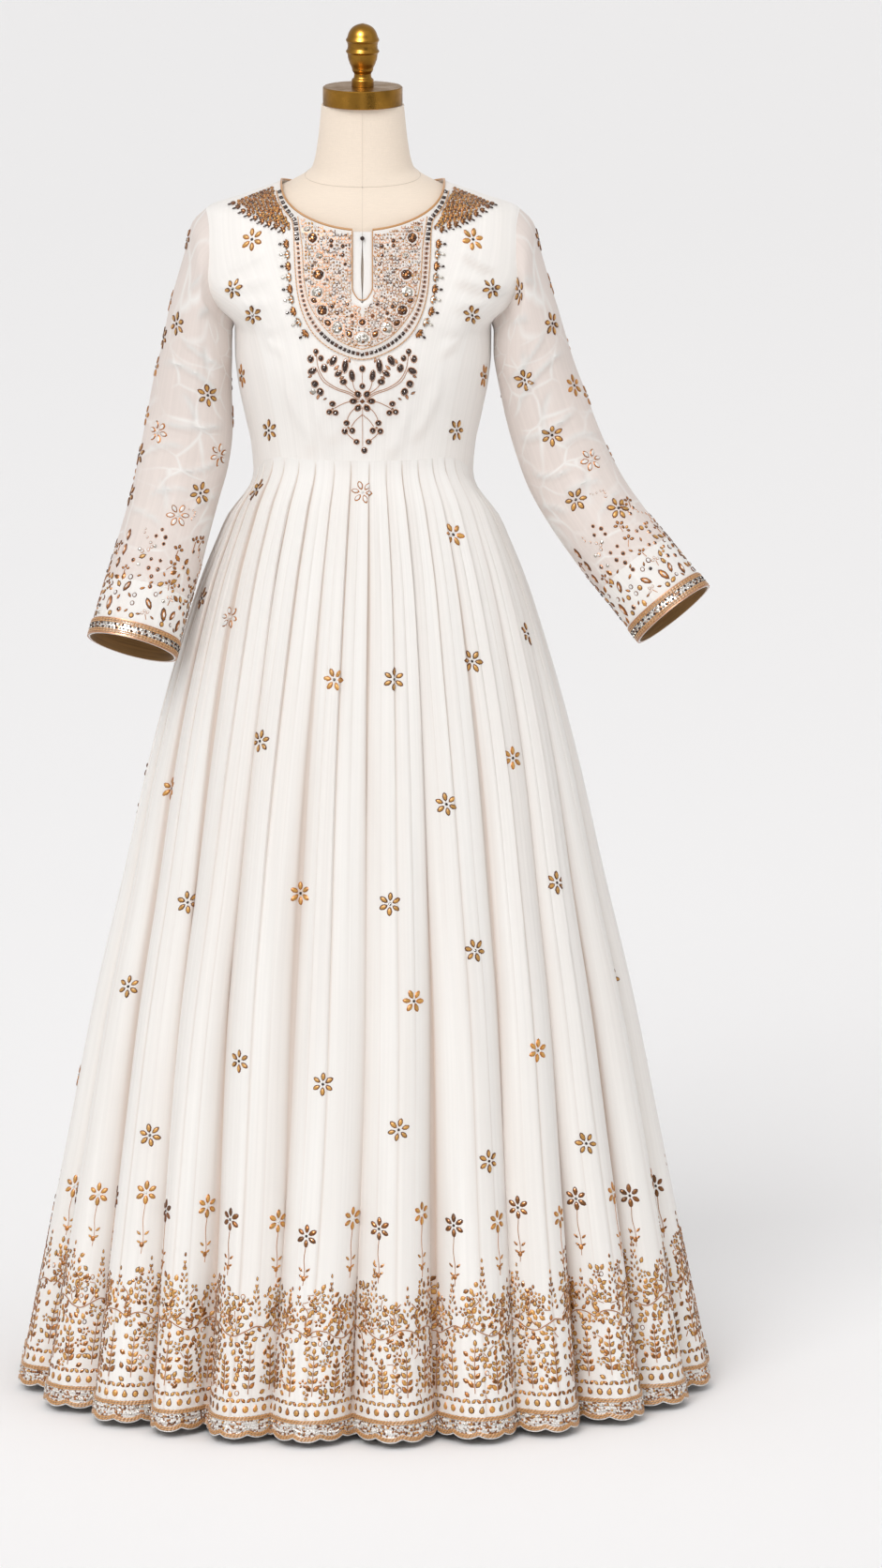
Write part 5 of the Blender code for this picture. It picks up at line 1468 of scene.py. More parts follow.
# Half of the pendant under the yoke, in millimetres from its flower: the other half mirrors it.
# Each row is a bead's place, width, height and turn.
PENDANT_BEADS = (
    (34, 50, 6.2, 11.5, -28), (20, 44, 5.6, 15.0, -6), (12, 32.5, 5.2, 12.5, 8), (28, 35, 5.0, 8.5, -52),
    (22, 25, 6.0, 7.2, -80), (44.5, 41, 6.2, 8.4, 10), (61, 51, 6.0, 7.6, 0), (54.5, 60, 5.0, 5.6, 0),
    (48.5, 52.5, 5.0, 6.0, 0), (59, 37, 9.6, 6.4, 30), (56, 21, 6.8, 8.0, -15), (49.5, 11, 6.6, 8.6, 12),
    (35, -4, 5.8, 6.0, 0), (38.8, -15, 5.4, 6.0, 0), (31.5, -16, 5.4, 6.0, 0), (18.6, -29.5, 5.6, 6.0, 0),
    (20.8, -40.5, 5.4, 6.6, 0), (12, -39.5, 5.4, 6.6, 0), (7, -54, 5.4, 5.6, 0),
)
PENDANT_LEAVES = (
    (30, 42, 4.2, 9.5, -48), (24, 30, 3.8, 7.5, -60), (52.5, 4, 4.2, 8.0, 160), (60, 9, 4.0, 7.5, 60),
    (35, -11, 3.4, 3.8, 0), (16.5, -36, 3.4, 3.8, 0), (62, 30, 3.6, 7.0, 120), (40, 49, 3.6, 8.0, -20),
    (15, 51, 3.0, 8.0, 10), (55, 56, 3.4, 3.8, 0), (44, 2, 3.0, 6.0, 120),
)
PENDANT_LINES = (
    ((3, 3), (14, 11), (30, 17), (44, 27), (52, 42), (54, 56)),
    ((4, 1.5), (15, 9), (31, 15), (46, 25), (54, 40)),
    ((4, -1), (16, -1), (27, -6), (33, -10)),
    ((3, -4), (12, -13), (17, -22), (18, -30)),
    ((0, -18), (8, -26), (13, -34)),
    ((20, -41), (14, -48), (8, -53)),
    ((2, 6), (9, 16), (12, 28)),
    ((8, 10), (18, 18), (24, 30), (30, 42)),
)

# The yoke's border and stones on half of it: x and z in metres on the front
YOKE_OUTER = (
    (0.1005, 1.4455), (0.097, 1.436), (0.0905, 1.427), (0.083, 1.419), (0.0805, 1.41), (0.0792, 1.385),
    (0.0778, 1.36), (0.0748, 1.334), (0.0672, 1.309), (0.056, 1.2905), (0.0418, 1.278), (0.0245, 1.269),
    (0.01, 1.264), (0.0, 1.2628),
)
YOKE_BORDER_TOP = ((0.0965, 1.4452), (0.0925, 1.435), (0.086, 1.4262))
YOKE_INNER = (
    (0.0752, 1.4215), (0.0738, 1.412), (0.0702, 1.39), (0.069, 1.37), (0.0672, 1.348), (0.0615, 1.325),
    (0.0505, 1.307), (0.0352, 1.2905), (0.0178, 1.28), (0.0, 1.2745),
)
YOKE_STONES = (
    (0.064, 1.4085, 9, 6, 20, 3), (0.058, 1.399, 11, 12, 0, 6), (0.05, 1.379, 8, 7, 0, 3),
    (0.051, 1.358, 13, 12, 20, 6), (0.0525, 1.338, 13, 12, 35, 3), (0.0465, 1.318, 12, 12, 50, 6),
    (0.029, 1.2985, 13, 12, 65, 3), (0.0, 1.2868, 15, 12, 0, 3), (0.036, 1.396, 5, 5, 0, 2),
    (0.0362, 1.3905, 4.5, 4.5, 0, 2), (0.0228, 1.39, 4.5, 5, 0, 2), (0.0228, 1.38, 4.5, 4.5, 0, 2),
    (0.02, 1.37, 4, 4, 0, 2), (0.035, 1.3225, 5, 5, 0, 2), (0.029, 1.315, 4.5, 4.5, 0, 2),
    (0.0172, 1.325, 4, 4, 0, 2), (0.012, 1.312, 4.5, 4.5, 0, 0), (0.0, 1.305, 8, 8, 0, 0),
    (0.015, 1.292, 7, 9, 30, 1), (0.04, 1.304, 7, 9, 50, 1), (0.056, 1.329, 6, 8, 70, 1),
)
# Fans outside the yoke's border: x, z and the way that they point, then 1 for silver
YOKE_FANS = (
    (0.088, 1.3915, -92, 0), (0.0868, 1.3797, -92, 1), (0.0858, 1.367, -94, 0), (0.0848, 1.3545, -95, 1),
    (0.0838, 1.3415, -97, 0), (0.082, 1.33, -100, 1), (0.0797, 1.317, -106, 0), (0.074, 1.3055, -118, 1),
    (0.0665, 1.2935, -130, 0),
)


# Over the cuff and up the forearm. Each row: kind, round from the sleeve's front line and up from
# the rim in millimetres, size, turn
CUFF_DESIGN = (
    ("medallion", 25, 38, 14, -14), ("medallion", 4, 45, 12, -34), ("medallion", -45, 38, 15, 0),
    ("medallion", 37, 41, 11, 20), ("medallion", 50, 33, 13, 10), ("medallion", -27, 60, 12, 25),
    ("ring", -15, 51, 6, 0), ("ring", -15, 41, 6, 0), ("ring", 9, 58, 6, 0), ("ring", -40, 51, 6, 0),
    ("ring", 38, 30, 5, 0), ("stone", 0, 65, 6, 0), ("stone", -29, 31, 7, 0), ("stone", 45, 54, 6, 0),
    ("stone", 55, 50, 6, 0), ("trefoil", 3, 32, 5, -25), ("trefoil", 28, 57, 5, 10),
    ("ring", -50, 62, 6, 0), ("leaf", -8, 61, 6, 60), ("leaf", -21, 50, 6, -40), ("leaf", 14, 62, 5, 30),
    ("leaf", -34, 46, 6, 20), ("leaf", -5, 30, 5, 80), ("leaf", 12, 30, 5, -60), ("leaf", -20, 31, 5, 40),
    ("leaf", 45, 26, 5, -30), ("stone", -8, 86, 6, 0), ("stone", 3, 87, 6, 0), ("stone", -8, 97, 5, 0),
    ("stone", 3, 98, 5, 0), ("stone", -2, 77, 6, 0), ("stone", -29, 92, 6, 0), ("stone", 33, 99, 5, 0),
    ("stone", 34, 77, 5, 0), ("stone", 42, 75, 5, 0), ("stone", 46, 90, 6, 0), ("stone", 41, 121, 5, 0),
    ("stone", 50, 126, 5, 0), ("paisley", -19, 117, 26, 10), ("paisley", 22, 163, 18, -30),
    ("paisley", 62, 112, 24, -10), ("stone", -5, 134, 5, 0), ("stone", -10, 125, 5, 0),
    ("stone", 1, 126, 6, 0), ("stone", 1, 118, 5, 0), ("goldtrefoil", 20, 116, 6, 5),
    ("goldtrefoil", 18, 96, 6, 40), ("goldtrefoil", 21, 74, 5, -10), ("goldtrefoil", 40, 132, 6, 0),
    ("goldtrefoil", 50, 136, 6, 20), ("silver", -21, 88, 4, 0), ("silver", -25, 106, 4, 0),
    ("silver", -8, 113, 4, 0), ("medallion", -46, 122, 12, 0), ("medallion", -46, 104, 12, 0),
    ("medallion", -50, 88, 11, 0), ("goldtrefoil", -36, 80, 5, 0), ("leaf", 0, 70, 5, 45),
    ("leaf", 12, 84, 5, -30), ("leaf", -16, 75, 5, 60), ("leaf", 30, 88, 5, 20),
    ("goldtrefoil", -58, 110, 5, 0), ("ring", 56, 72, 5, 0), ("goldtrefoil", 62, 90, 5, 0),
)


# Cloths, made once and shared


@functools.cache
def bodice_half(back, side):
    """Half of the front or back, at +X for side 1 and at -X for side -1."""
    plane = centre_plane(back)
    made = Cloth(on_bodice(plane[..., 0], risen(plane[..., 0], plane[..., 1]), back))
    lift = crease_lift(made.grid, back, 1.0 if side < 0 else 0.8)
    steepness = np.gradient(lift, axis=0) / np.maximum(np.gradient(made.grid[..., 2], axis=0), 1e-4)
    made.move_out(lift)
    made.grid[:, -1] = outer_edge(back)
    made = Cloth(made.grid if side > 0 else mirrored(made.grid))
    # Painted shade: the flank of each crease that faces down, away from the light above, is darkened towards
    # the fold-shade colour, over an even 4% everywhere.
    made.shade = 0.04 + np.clip(0.7 * steepness, 0, 0.55)
    return made


@functools.cache
def side_panel(back, side):
    """The panel between the princess seam and the side seam."""
    made = Cloth(side_half(back) if side > 0 else mirrored(side_half(back)))
    # Evenly tinted towards the fold-shade colour: 12% on the front panels, 5% on the back.
    made.shade[:] = 0.05 if back else 0.12
    return made


@functools.cache
def whole_front():
    """The front from armhole to armhole as an even grid, to sew handwork on."""
    xs, ups = np.meshgrid(np.linspace(-0.174, 0.174, 117), np.linspace(0.03, 0.995, 134) * BODICE_LENGTH)
    made = Cloth(on_bodice(xs, risen(xs, ups)))
    made.move_out(crease_lift(made.grid, False, np.where(xs < 0, 1.0, 0.8)))
    return made


@functools.cache
def skirt_cloth(back):
    """Half of the skirt, from side seam to side seam."""
    grid, shade = skirt_surface(back)
    made = Cloth(grid, down=True)
    made.shade = shade
    return made


@functools.cache
def sewing_skirt(back):
    """The same with a margin that hangs below the hem, which carries the border's scallops."""
    grid = skirt_cloth(back).grid
    fall = unit(grid[-1] - grid[-3])
    margin = [grid[-1] + fall * HEM_MARGIN * share for share in (0.5, 1.0)]
    return Cloth(np.concatenate([grid, margin]), down=True, foot=HEM_MARGIN)


@functools.cache
def sleeve_cloths(side):
    """A sleeve, its cuff, and both as one cloth to sew handwork on."""
    rings = sleeve_rings(LEFT_SLEEVE if side > 0 else RIGHT_SLEEVE, side)
    knots = lengths(rings[:, :-1].mean(1))
    flat = rings.reshape(len(rings), -1)
    upper = through(np.linspace(0, knots[-2], SLEEVE_ROWS), knots, flat)
    lower = through(np.linspace(knots[-2] + 0.00005, knots[-1], CUFF_ROWS), knots, flat)
    rows = np.concatenate([upper, lower[1:]])
    whole = Cloth(rows.reshape(len(rows), -1, 3), down=True, closed=True)
    height = whole.along[-1][None] - whole.along
    lift, white = creased(np.stack([whole.across, height], -1), SLEEVE_CREASES)
    fade = step_up((height - 0.085) / 0.03) * step_up(whole.along / 0.03)
    fade = fade * step_up(np.minimum(whole.across, whole.across[:, -1:] - whole.across) / 0.01)
    puff = 0.001 * np.sin(34 * height + 3 * np.sin(22 * whole.across))
    whole.move_out((lift + puff) * fade)
    body = Cloth(whole.grid[:SLEEVE_ROWS], down=True, closed=True)
    # Whiter along the creases: partly the sheer cloth lying doubled, partly a painted highlight on the
    # ridges.
    body.shade = (white * fade)[:SLEEVE_ROWS]
    start = lower[:1].reshape(1, -1, 3)
    cuff = Cloth(np.concatenate([start, whole.grid[SLEEVE_ROWS:]]), down=True, closed=True)
    # Evenly tinted 2% towards the fold-shade colour.
    cuff.shade[:] = 0.02
    return body, cuff, whole


@functools.cache
def form_cloth():
    """The form's cover, from the foot of its body to the neck cap."""
    heights = np.concatenate([np.linspace(0.8, 1.4, 50), np.linspace(1.41, 1.545, 56)])
    angles = np.linspace(0, 360, 97)
    rings = []
    for at in heights:
        x, y = oval(
            angles,
            torso("form_width", at),
            torso("front", at) - FORM_CLEARANCE,
            torso("back", at) - FORM_BACK_CLEARANCE,
            torso("centre_y", at),
            torso("squareness", at),
        )
        rings.append(np.stack([x, y, np.full(len(x), at - FORM_DROP)], -1))
    return Cloth(np.array(rings), closed=True)


class Raised:
    """A cloth's places, a little further out, for handwork on a second cloth that lies on it."""

    def __init__(self, cloth, lift):
        self.cloth, self.lift, self.handed = cloth, lift, cloth.handed
        self.find, self.shift = cloth.find, cloth.shift

    def at(self, columns, rows, lift=0.0):
        return self.cloth.at(columns, rows, np.asarray(lift) + self.lift)


def cut(*cloths):
    """The width, length and area of these cloths laid flat, in metres."""
    area = 0.0
    for cloth in cloths:
        a = cloth.grid[1:, 1:] - cloth.grid[:-1, :-1]
        b = cloth.grid[1:, :-1] - cloth.grid[:-1, 1:]
        area += float(np.linalg.norm(np.cross(a, b), axis=-1).sum() / 2)
    width = sum(float(cloth.across.max()) for cloth in cloths)
    length = max(float(cloth.along[-1].max()) for cloth in cloths)
    return (width, length), min(area, width * length)


def add_sheet(name, cloths, finishes, slot, nodes, held, **more):
    """A cloth piece from its grids; their flat size and area are measured and passed on, but nothing uses
    them.
    """
    flat, area = cut(*cloths)
    return add_cloth(name, cloths, finishes, slot, nodes, flat, held, area=area, **more)


def even_line(rows, count):
    """Evenly spaced points of a soft line through these."""
    rows = np.array(rows, float)
    knots = lengths(rows)
    return through(np.linspace(0, knots[-1], count + 1), knots, rows)


def lathed(name, profile, finish, slot, node, steps=64):
    """A turned piece, from rows of radius and height that begin and end on the axis."""
    shape = bmesh.new()
    verts = [shape.verts.new((radius, 0, height)) for radius, height in profile]
    edges = [shape.edges.new(pair) for pair in zip(verts, verts[1:])]
    bmesh.ops.spin(
        shape, geom=verts + edges, axis=(0, 0, 1), angle=2 * math.pi, steps=steps, use_merge=True
    )
    bmesh.ops.remove_doubles(shape, verts=shape.verts, dist=1e-6)
    bmesh.ops.recalc_face_normals(shape, faces=shape.faces)
    return add_piece(name, shape, [finish], slot, node, sharp=40)


def piping(name, paths, node, sides=10):
    """Rolled piping along rows of points, each with its outward ways and its radius."""
    whole = bmesh.new()
    layer = whole.loops.layers.uv.new("UVMap")
    for centre, out, radius in paths:
        way = unit(np.gradient(centre, axis=0))
        out = unit(out - (out * way).sum(-1, keepdims=True) * way)
        aside = np.cross(way, out)
        run = lengths(centre)
        made = bmesh.ops.create_grid(whole, x_segments=sides, y_segments=len(centre) - 1, size=1)["verts"]
        whole.verts.index_update()
        made.sort(key=lambda vert: vert.index)
        places = {}
        for i, vert in enumerate(made):
            r, c = divmod(i, sides + 1)
            turn = 2 * math.pi * c / sides
            vert.co = centre[r] + radius * (math.cos(turn) * aside[r] + math.sin(turn) * out[r])
            places[vert] = turn * radius, run[r]
        for loop in [loop for vert in made for loop in vert.link_loops]:
            loop[layer].uv = places[loop.vert]
    bmesh.ops.remove_doubles(whole, verts=whole.verts, dist=1e-6)
    bmesh.ops.holes_fill(whole, edges=[edge for edge in whole.edges if edge.is_boundary], sides=0)
    bmesh.ops.recalc_face_normals(whole, faces=whole.faces)
    return add_piece(name, whole, ["tan_satin_piping"], "gold_thread_trim", node)


def line_on(cloth, rows, count, side=1):
    """Columns and rows of a cloth along a soft line of x and z on its front."""
    spots = np.array([cloth.find(side * x, z) for x, z in even_line(rows, count)])
    return spots[:, 0], spots[:, 1]


# Pieces


def braid(name, node, held, under, cloth, levels, cords, seed, closed=False):
    """A net of seed beads sewn on a cloth at these levels above its edge, with cords couched on it."""
    columns, _ = cloth.even_columns(BRAID_STEP)
    grid = [cloth.at(columns, cloth.levels(columns, level), BRAID_LIFT) for level in levels]
    add_sheet(
        name, [Cloth(grid, down=True, closed=closed)], ["seed_bead_net"], "gold_thread_trim", [node], held,
        wall=TRIM_WALL, rests_on=[under],
    )
    work = Handwork(Raised(cloth, BRAID_LIFT), seed)
    for above, radius, part in cords:
        work.couch_on(columns, cloth.levels(columns, above), radius, part)
    return work


def make_bodice():
    halves = [bodice_half(False, side) for side in (1, -1)]
    add_sheet(
        "front_bodice", halves, ["bodice_georgette"], "white_georgette", ["bodice_front"], "stretched",
        rests_on=["form_cover"],
    )
    for word, side in SIDES:
        add_sheet(
            f"side_front_{word}", [side_panel(False, side)], ["bodice_georgette"], "white_georgette",
            [f"bodice_side_front_{word}"], "stretched",
        )
    back = [made(True, side) for side in (1, -1) for made in (bodice_half, side_panel)]
    add_sheet("back_bodice", back, ["bodice_georgette"], "white_georgette", ["bodice_back"], "stretched")


def make_sleeves():
    for word, side in SIDES:
        body, cuff, _ = sleeve_cloths(side)
        add_sheet(
            f"sheer_sleeve_{word}", [body], ["sheer_silk_georgette"], "sheer_georgette",
            [f"sleeve_{word}"], "hung",
        )
        add_sheet(
            f"lined_cuff_{word}", [cuff], ["lined_crepe", "bronze_satin_lining"], "lined_cuff_cloth",
            [f"cuff_{word}"], "hung", inside=1, wall=0.0012,
        )


def make_skirt():
    for word, back in HALVES:
        add_sheet(
            f"pleated_skirt_{word}", [skirt_cloth(back)], ["ivory_georgette"], "white_georgette",
            [f"skirt_{word}"], "gathered",
        )


def make_neck():
    front = neck_points(SLIT_HALF_WIDTH, False, 60)
    back = neck_points(0.0, True, 60)
    left = np.concatenate([front, back[::-1][1:]])
    path = np.concatenate([left, left[::-1][1:] * MIRROR])
    along = unit(np.gradient(path, axis=0))
    way = np.array([0.0, 0.0, 1.6]) - path
    way = unit(way - (way * along).sum(1, keepdims=True) * along)
    radius = sizes().piping
    neck = path + way * (radius + GAP)
    half = bodice_half(False, 1)
    start = int(np.argmax(half.grid[:, 0, 0] > 0.0008))
    edge, out = (
        np.concatenate([rows[::-1], rows * MIRROR]) for rows in (half.grid[start:, 0], half.out[start:, 0])
    )
    edge = edge + out * 0.0006
    edge = even_line(edge[np.concatenate([[True], np.diff(lengths(edge)) > 1e-4])], 90)
    out = np.tile(out.mean(0), (len(edge), 1))
    piping("neck_piping", [(neck, way, radius), (edge, out, SLIT_PIPING)], "neck_binding")
    for word, side in SIDES:
        rows = []
        for t in np.linspace(0, 1, 40):
            height = SLIT_FOOT + 0.0015 + (neckline(0.0, FRONT_NECK_DROP) - 0.002 - SLIT_FOOT) * t
            gap = 0.0003 + 0.0013 * math.sin(math.pi * min(1.15 * t, 1)) ** 2
            xs = np.linspace(gap, max(slit_width(height) + 0.001, gap + 0.0012), 9)
            row = on_bodice(xs, np.full(9, height))
            row[:, 1] += 0.002 - 0.0009 * np.sin(np.linspace(0.2, math.pi, 9)) ** 0.5
            rows.append(row)
        strip = Cloth(np.array(rows) if side > 0 else mirrored(np.array(rows)))
        add_sheet(
            f"slit_placket_{word}", [strip], ["ivory_georgette"], "white_georgette", [f"placket_{word}"],
            "stretched",
        )
    bead = bmesh.new()
    bmesh.ops.create_uvsphere(bead, u_segments=20, v_segments=12, radius=BUTTON_RADIUS)
    low, high = (Vector(corner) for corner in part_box("neck_button"))
    bmesh.ops.translate(bead, verts=bead.verts, vec=(low + high) / 2)
    add_piece("closing_bead", bead, ["faceted_bronze_bead"], "dark_bronze_bead", "neck_button")


def yoke_lines(count):
    """The bib's outer and inner edges on its left half, as x and z."""
    outer = [(0.0835, neckline(0.0835, FRONT_NECK_DROP) - 0.0015), *YOKE_OUTER[3:]]
    outer = even_line(outer, count)
    slit = SLIT_HALF_WIDTH + 0.003
    xs = np.linspace(0.0755, slit, 24)
    inner = [(x, neckline(x, FRONT_NECK_DROP) - 0.0015) for x in xs]
    inner += [(slit, z) for z in np.linspace(1.395, 1.336, 16)]
    inner += [(slit * 0.8, 1.3285), (slit * 0.4, 1.324), (0.0, 1.3225)]
    inner = np.array(inner)
    knots = lengths(inner)
    stops = np.linspace(0, knots[-1], count + 1)
    return outer, np.stack([np.interp(stops, knots, inner[:, k]) for k in (0, 1)], -1)


def make_yoke():
    outer, inner = yoke_lines(64)
    share = np.linspace(0, 1, 17)[:, None, None]
    plane = inner[None] * (1 - share) + outer[None] * share
    plane = np.concatenate([plane, (plane * np.array([-1.0, 1.0]))[:, ::-1][:, 1:]], 1)
    ground = Cloth(on_bodice(plane[..., 0], plane[..., 1]))
    ground.move_out(np.full(plane.shape[:2], YOKE_LIFT))
    # The bib's ground is evenly tinted 12% towards the fold-shade colour.
    ground.shade[:] = 0.12
    add_sheet(
        "yoke_ground", [ground], ["lined_crepe"], "gold_thread_trim", ["yoke_applique"], "laid",
        wall=TRIM_WALL, rests_on=["front_bodice"],
    )
    sewn = Raised(whole_front(), YOKE_LIFT)
    for seed, (word, cloth, designs) in enumerate((
        ("border", sewn, (yoke_border, yoke_shoulders)),
        ("filigree", sewn, (yoke_scales, yoke_stones)),
        ("pendant", whole_front(), (yoke_pendant,)),
    )):
        work = Handwork(cloth, seed + 1)
        for design in designs:
            design(work)
        work.finish(f"yoke_{word}")


def yoke_border(work):
    """Two pairs of thin cords with dark tiles between them, and the fans outside."""
    for side in (1, -1):
        for rows in (YOKE_OUTER, YOKE_INNER):
            columns, levels = line_on(work.cloth, rows, 130, side)
            work.couch_on(columns, levels, 0.75, CORD)
        outer, inner = even_line(YOKE_OUTER[4:], 40), even_line(YOKE_INNER, 40)
        middle = np.concatenate([YOKE_BORDER_TOP, (outer + inner) / 2])
        count = int(lengths(middle)[-1] / 0.0053)
        spots = even_line(middle, count)
        for i, (x, z) in enumerate(spots[:-1] if side < 0 else spots):
            heading = math.degrees(math.atan2(*(spots[min(i + 1, count)] - spots[max(i - 1, 0)])))
            work.start_at(side * x, z, turn=side * heading)
            if z > 1.397:
                work.lay("tile", 0, 0, 4.9, 3.4, 0, BEAD, rise=2.0)
            elif z < 1.292:
                work.lay("tile", 0, 0, 3.9, 3.9, 0, BEAD if i % 5 else BROWN, rise=2.0)
            else:
                work.lay("tile", 0, 0, 2.8, 2.8, 0, BROWN, rise=1.7)
                arch = [(-2.4, -1.9), (-2.4, 1.4), (0, 2.4), (2.4, 1.4), (2.4, -1.9)]
                work.couch(arch, 0.35, ROSE, 0.7, steps=6)
        for x, z, way, silver in YOKE_FANS:
            work.start_at(side * (x - 0.003), z, turn=-way * side)
            rim, fill = (SILVER, SILVER) if silver else (BROWN, SEQUIN)
            for spread in (-52, -26, 0, 26, 52):
                tall = 8.6 - 0.03 * abs(spread)
                tip = fill if spread % 52 else GOLD
                work.lay("leaf", *off(0, 0, 4.4, spread), tall * 0.44, tall, spread, rim, tip, rise=1.5)
            work.lay("stone", 0, 11.0, 3.0, 4.6, 0, SILVER if silver else BEAD, rise=2.2)


def yoke_shoulders(work):
    """A lace of leaves and seed beads from the border's upper end out over the shoulder."""
    shake, choice = work.uneven.uniform, work.uneven.choice
    for side in (1, -1):
        for i in range(17):
            t = (i / 16) ** 1.35
            reach = 54 - 40 * t**0.8
            lean = 101 + 12 * t + shake(-2, 2)
            work.start_at(side * (0.104 - 0.021 * t), 1.4475 - 0.0365 * t, turn=side * lean)
            away, k = 2.0 + shake(0, 3), i
            while away < reach - 7:
                grown = 6.6 if k % 2 else 5.4
                for spread in (-44, 44):
                    lean = spread + shake(-16, 16)
                    tones = choice(((BROWN, GOLD), (BROWN, PALE), (GOLD, PALE), (GOLD, SEQUIN)))
                    work.lay("leaf", math.copysign(1.7, spread), away, grown * 0.46, grown, lean, *tones)
                tone = (BROWN, IVORY, SEQUIN, BEAD, PALE)[k % 5]
                work.lay("bead", 0, away + 1.6, 1.9, 2.1, 0, tone, rise=1.6)
                away += 4.6
                k += 1
            if i % 2 == 0:
                for spread in (-40, 0, 40):
                    place = off(0, reach - 6, 3.2, spread)
                    work.lay("leaf", *place, 3.6, 7.4, spread, BROWN, SEQUIN, rise=1.5)
                work.lay("stone", 0, reach + 1.6, 2.4, 4.6, 0, BEAD, rise=2.0)


def yoke_scales(work):
    """Rows of tiny scales that follow the slit, with seed beads among them."""
    shake, choose = work.uneven.uniform, work.uneven.choice
    stones = [(x * side, z, max(a, b)) for x, z, a, b, *_ in YOKE_STONES for side in (1, -1)]
    inner = even_line(YOKE_INNER, 60)
    neck = neck_points(SLIT_HALF_WIDTH, False, 40)
    turns = np.linspace(0.15, 1.57, 12)
    for row in range(18):
        away = SLIT_HALF_WIDTH + 0.0034 + 0.0036 * row
        path = [(away, z) for z in np.linspace(1.426, 1.333, 24)]
        path += [(away * math.cos(t), 1.333 - (away * 0.95 - 0.001) * math.sin(t)) for t in turns]
        spots = even_line(path, max(8, int(lengths(np.array(path))[-1] / 0.0038)))
        for i, (x, z) in enumerate(spots[:-1]):
            top = float(np.interp(x, neck[:, 0], neck[:, 2])) - 0.003
            limit = float(np.interp(-z, -inner[:, 1], inner[:, 0])) - 0.0022
            if z > top or x > limit or x < 0.001:
                continue
            heading = math.degrees(math.atan2(*(spots[i + 1] - spots[i])))
            for side in (1, -1):
                if min(math.hypot(side * x - a, z - b) * 1000 - c / 2 for a, b, c in stones) < 1.0:
                    continue
                lean = side * heading + shake(-38, 38)
                work.start_at(side * x, z, turn=lean, scale=shake(0.9, 1.35))
                choice = shake(0, 1)
                outer = row > 9
                if choice < (0.42 if outer else 0.66):
                    arc = [(-1.7, -0.8), (-1.3, 0.9), (0, 1.7), (1.3, 0.9), (1.7, -0.8)]
                    work.couch(arc, 0.5, choose((CORD, ROSE, GOLD, BROWN)), shake(0.0, 0.9), steps=4)
                elif choice < 0.86:
                    tones = choose(((BROWN, PALE), (ROSE, PALE), (GOLD, IVORY)))
                    work.lay("leaf", 0, 0, 2.2, 3.6, 0, *tones)
                if choice > 0.72 or choice < 0.1:
                    tone = choose((BROWN, BEAD, SEQUIN, ROSE, SILVER if outer else GOLD))
                    grown = shake(1.4, 2.3)
                    work.lay("bead", 0, 0, grown, grown, 0, tone, rise=1.8)


def yoke_stones(work):
    """Clusters of bronze and silver stones, each in a twisted outline."""
    for x, z, wide, tall, turn, kind in YOKE_STONES:
        wide, tall = wide * 1.12, tall * 1.12
        for side in (1, -1) if x else (1,):
            work.start_at(side * x, z, turn=side * turn)
            if kind == BEAD or wide < 6:
                work.lay("petal", 0, 0, wide * 1.2, tall * 1.3, 0, ROSE, BROWN, rise=1.2)
                work.lay("stone", 0, 0, wide * 0.75, tall * 0.8, 0, kind, rise=2.6)
                continue
            base = (SILVER, IVORY) if kind == SILVER else (BROWN, SEQUIN)
            work.lay("petal", 0, 0, wide, tall, 0, *base, rise=1.4)
            for i in range(5):
                turned = 2 * math.pi / 5 * i + 0.4
                place = wide * 0.25 * math.sin(turned), tall * 0.25 * math.cos(turned)
                grown = min(wide, tall) * work.uneven.uniform(0.24, 0.34)
                tone = (SILVER, SILVER, SEQUIN) if kind == SILVER else (SEQUIN, BEAD, BROWN)
                work.lay("stone", *place, grown, grown * 1.2, 0, tone[i % 3], rise=3.2)
            work.couch(round_it(wide * 0.63, tall * 0.63, 13), 0.45, ROSE, 0.5, steps=16)


def round_it(wide, tall, count):
    """Places round an oval of these half sizes."""
    return [(wide * math.sin(t), tall * math.cos(t)) for t in np.linspace(0, 6.283, count)]


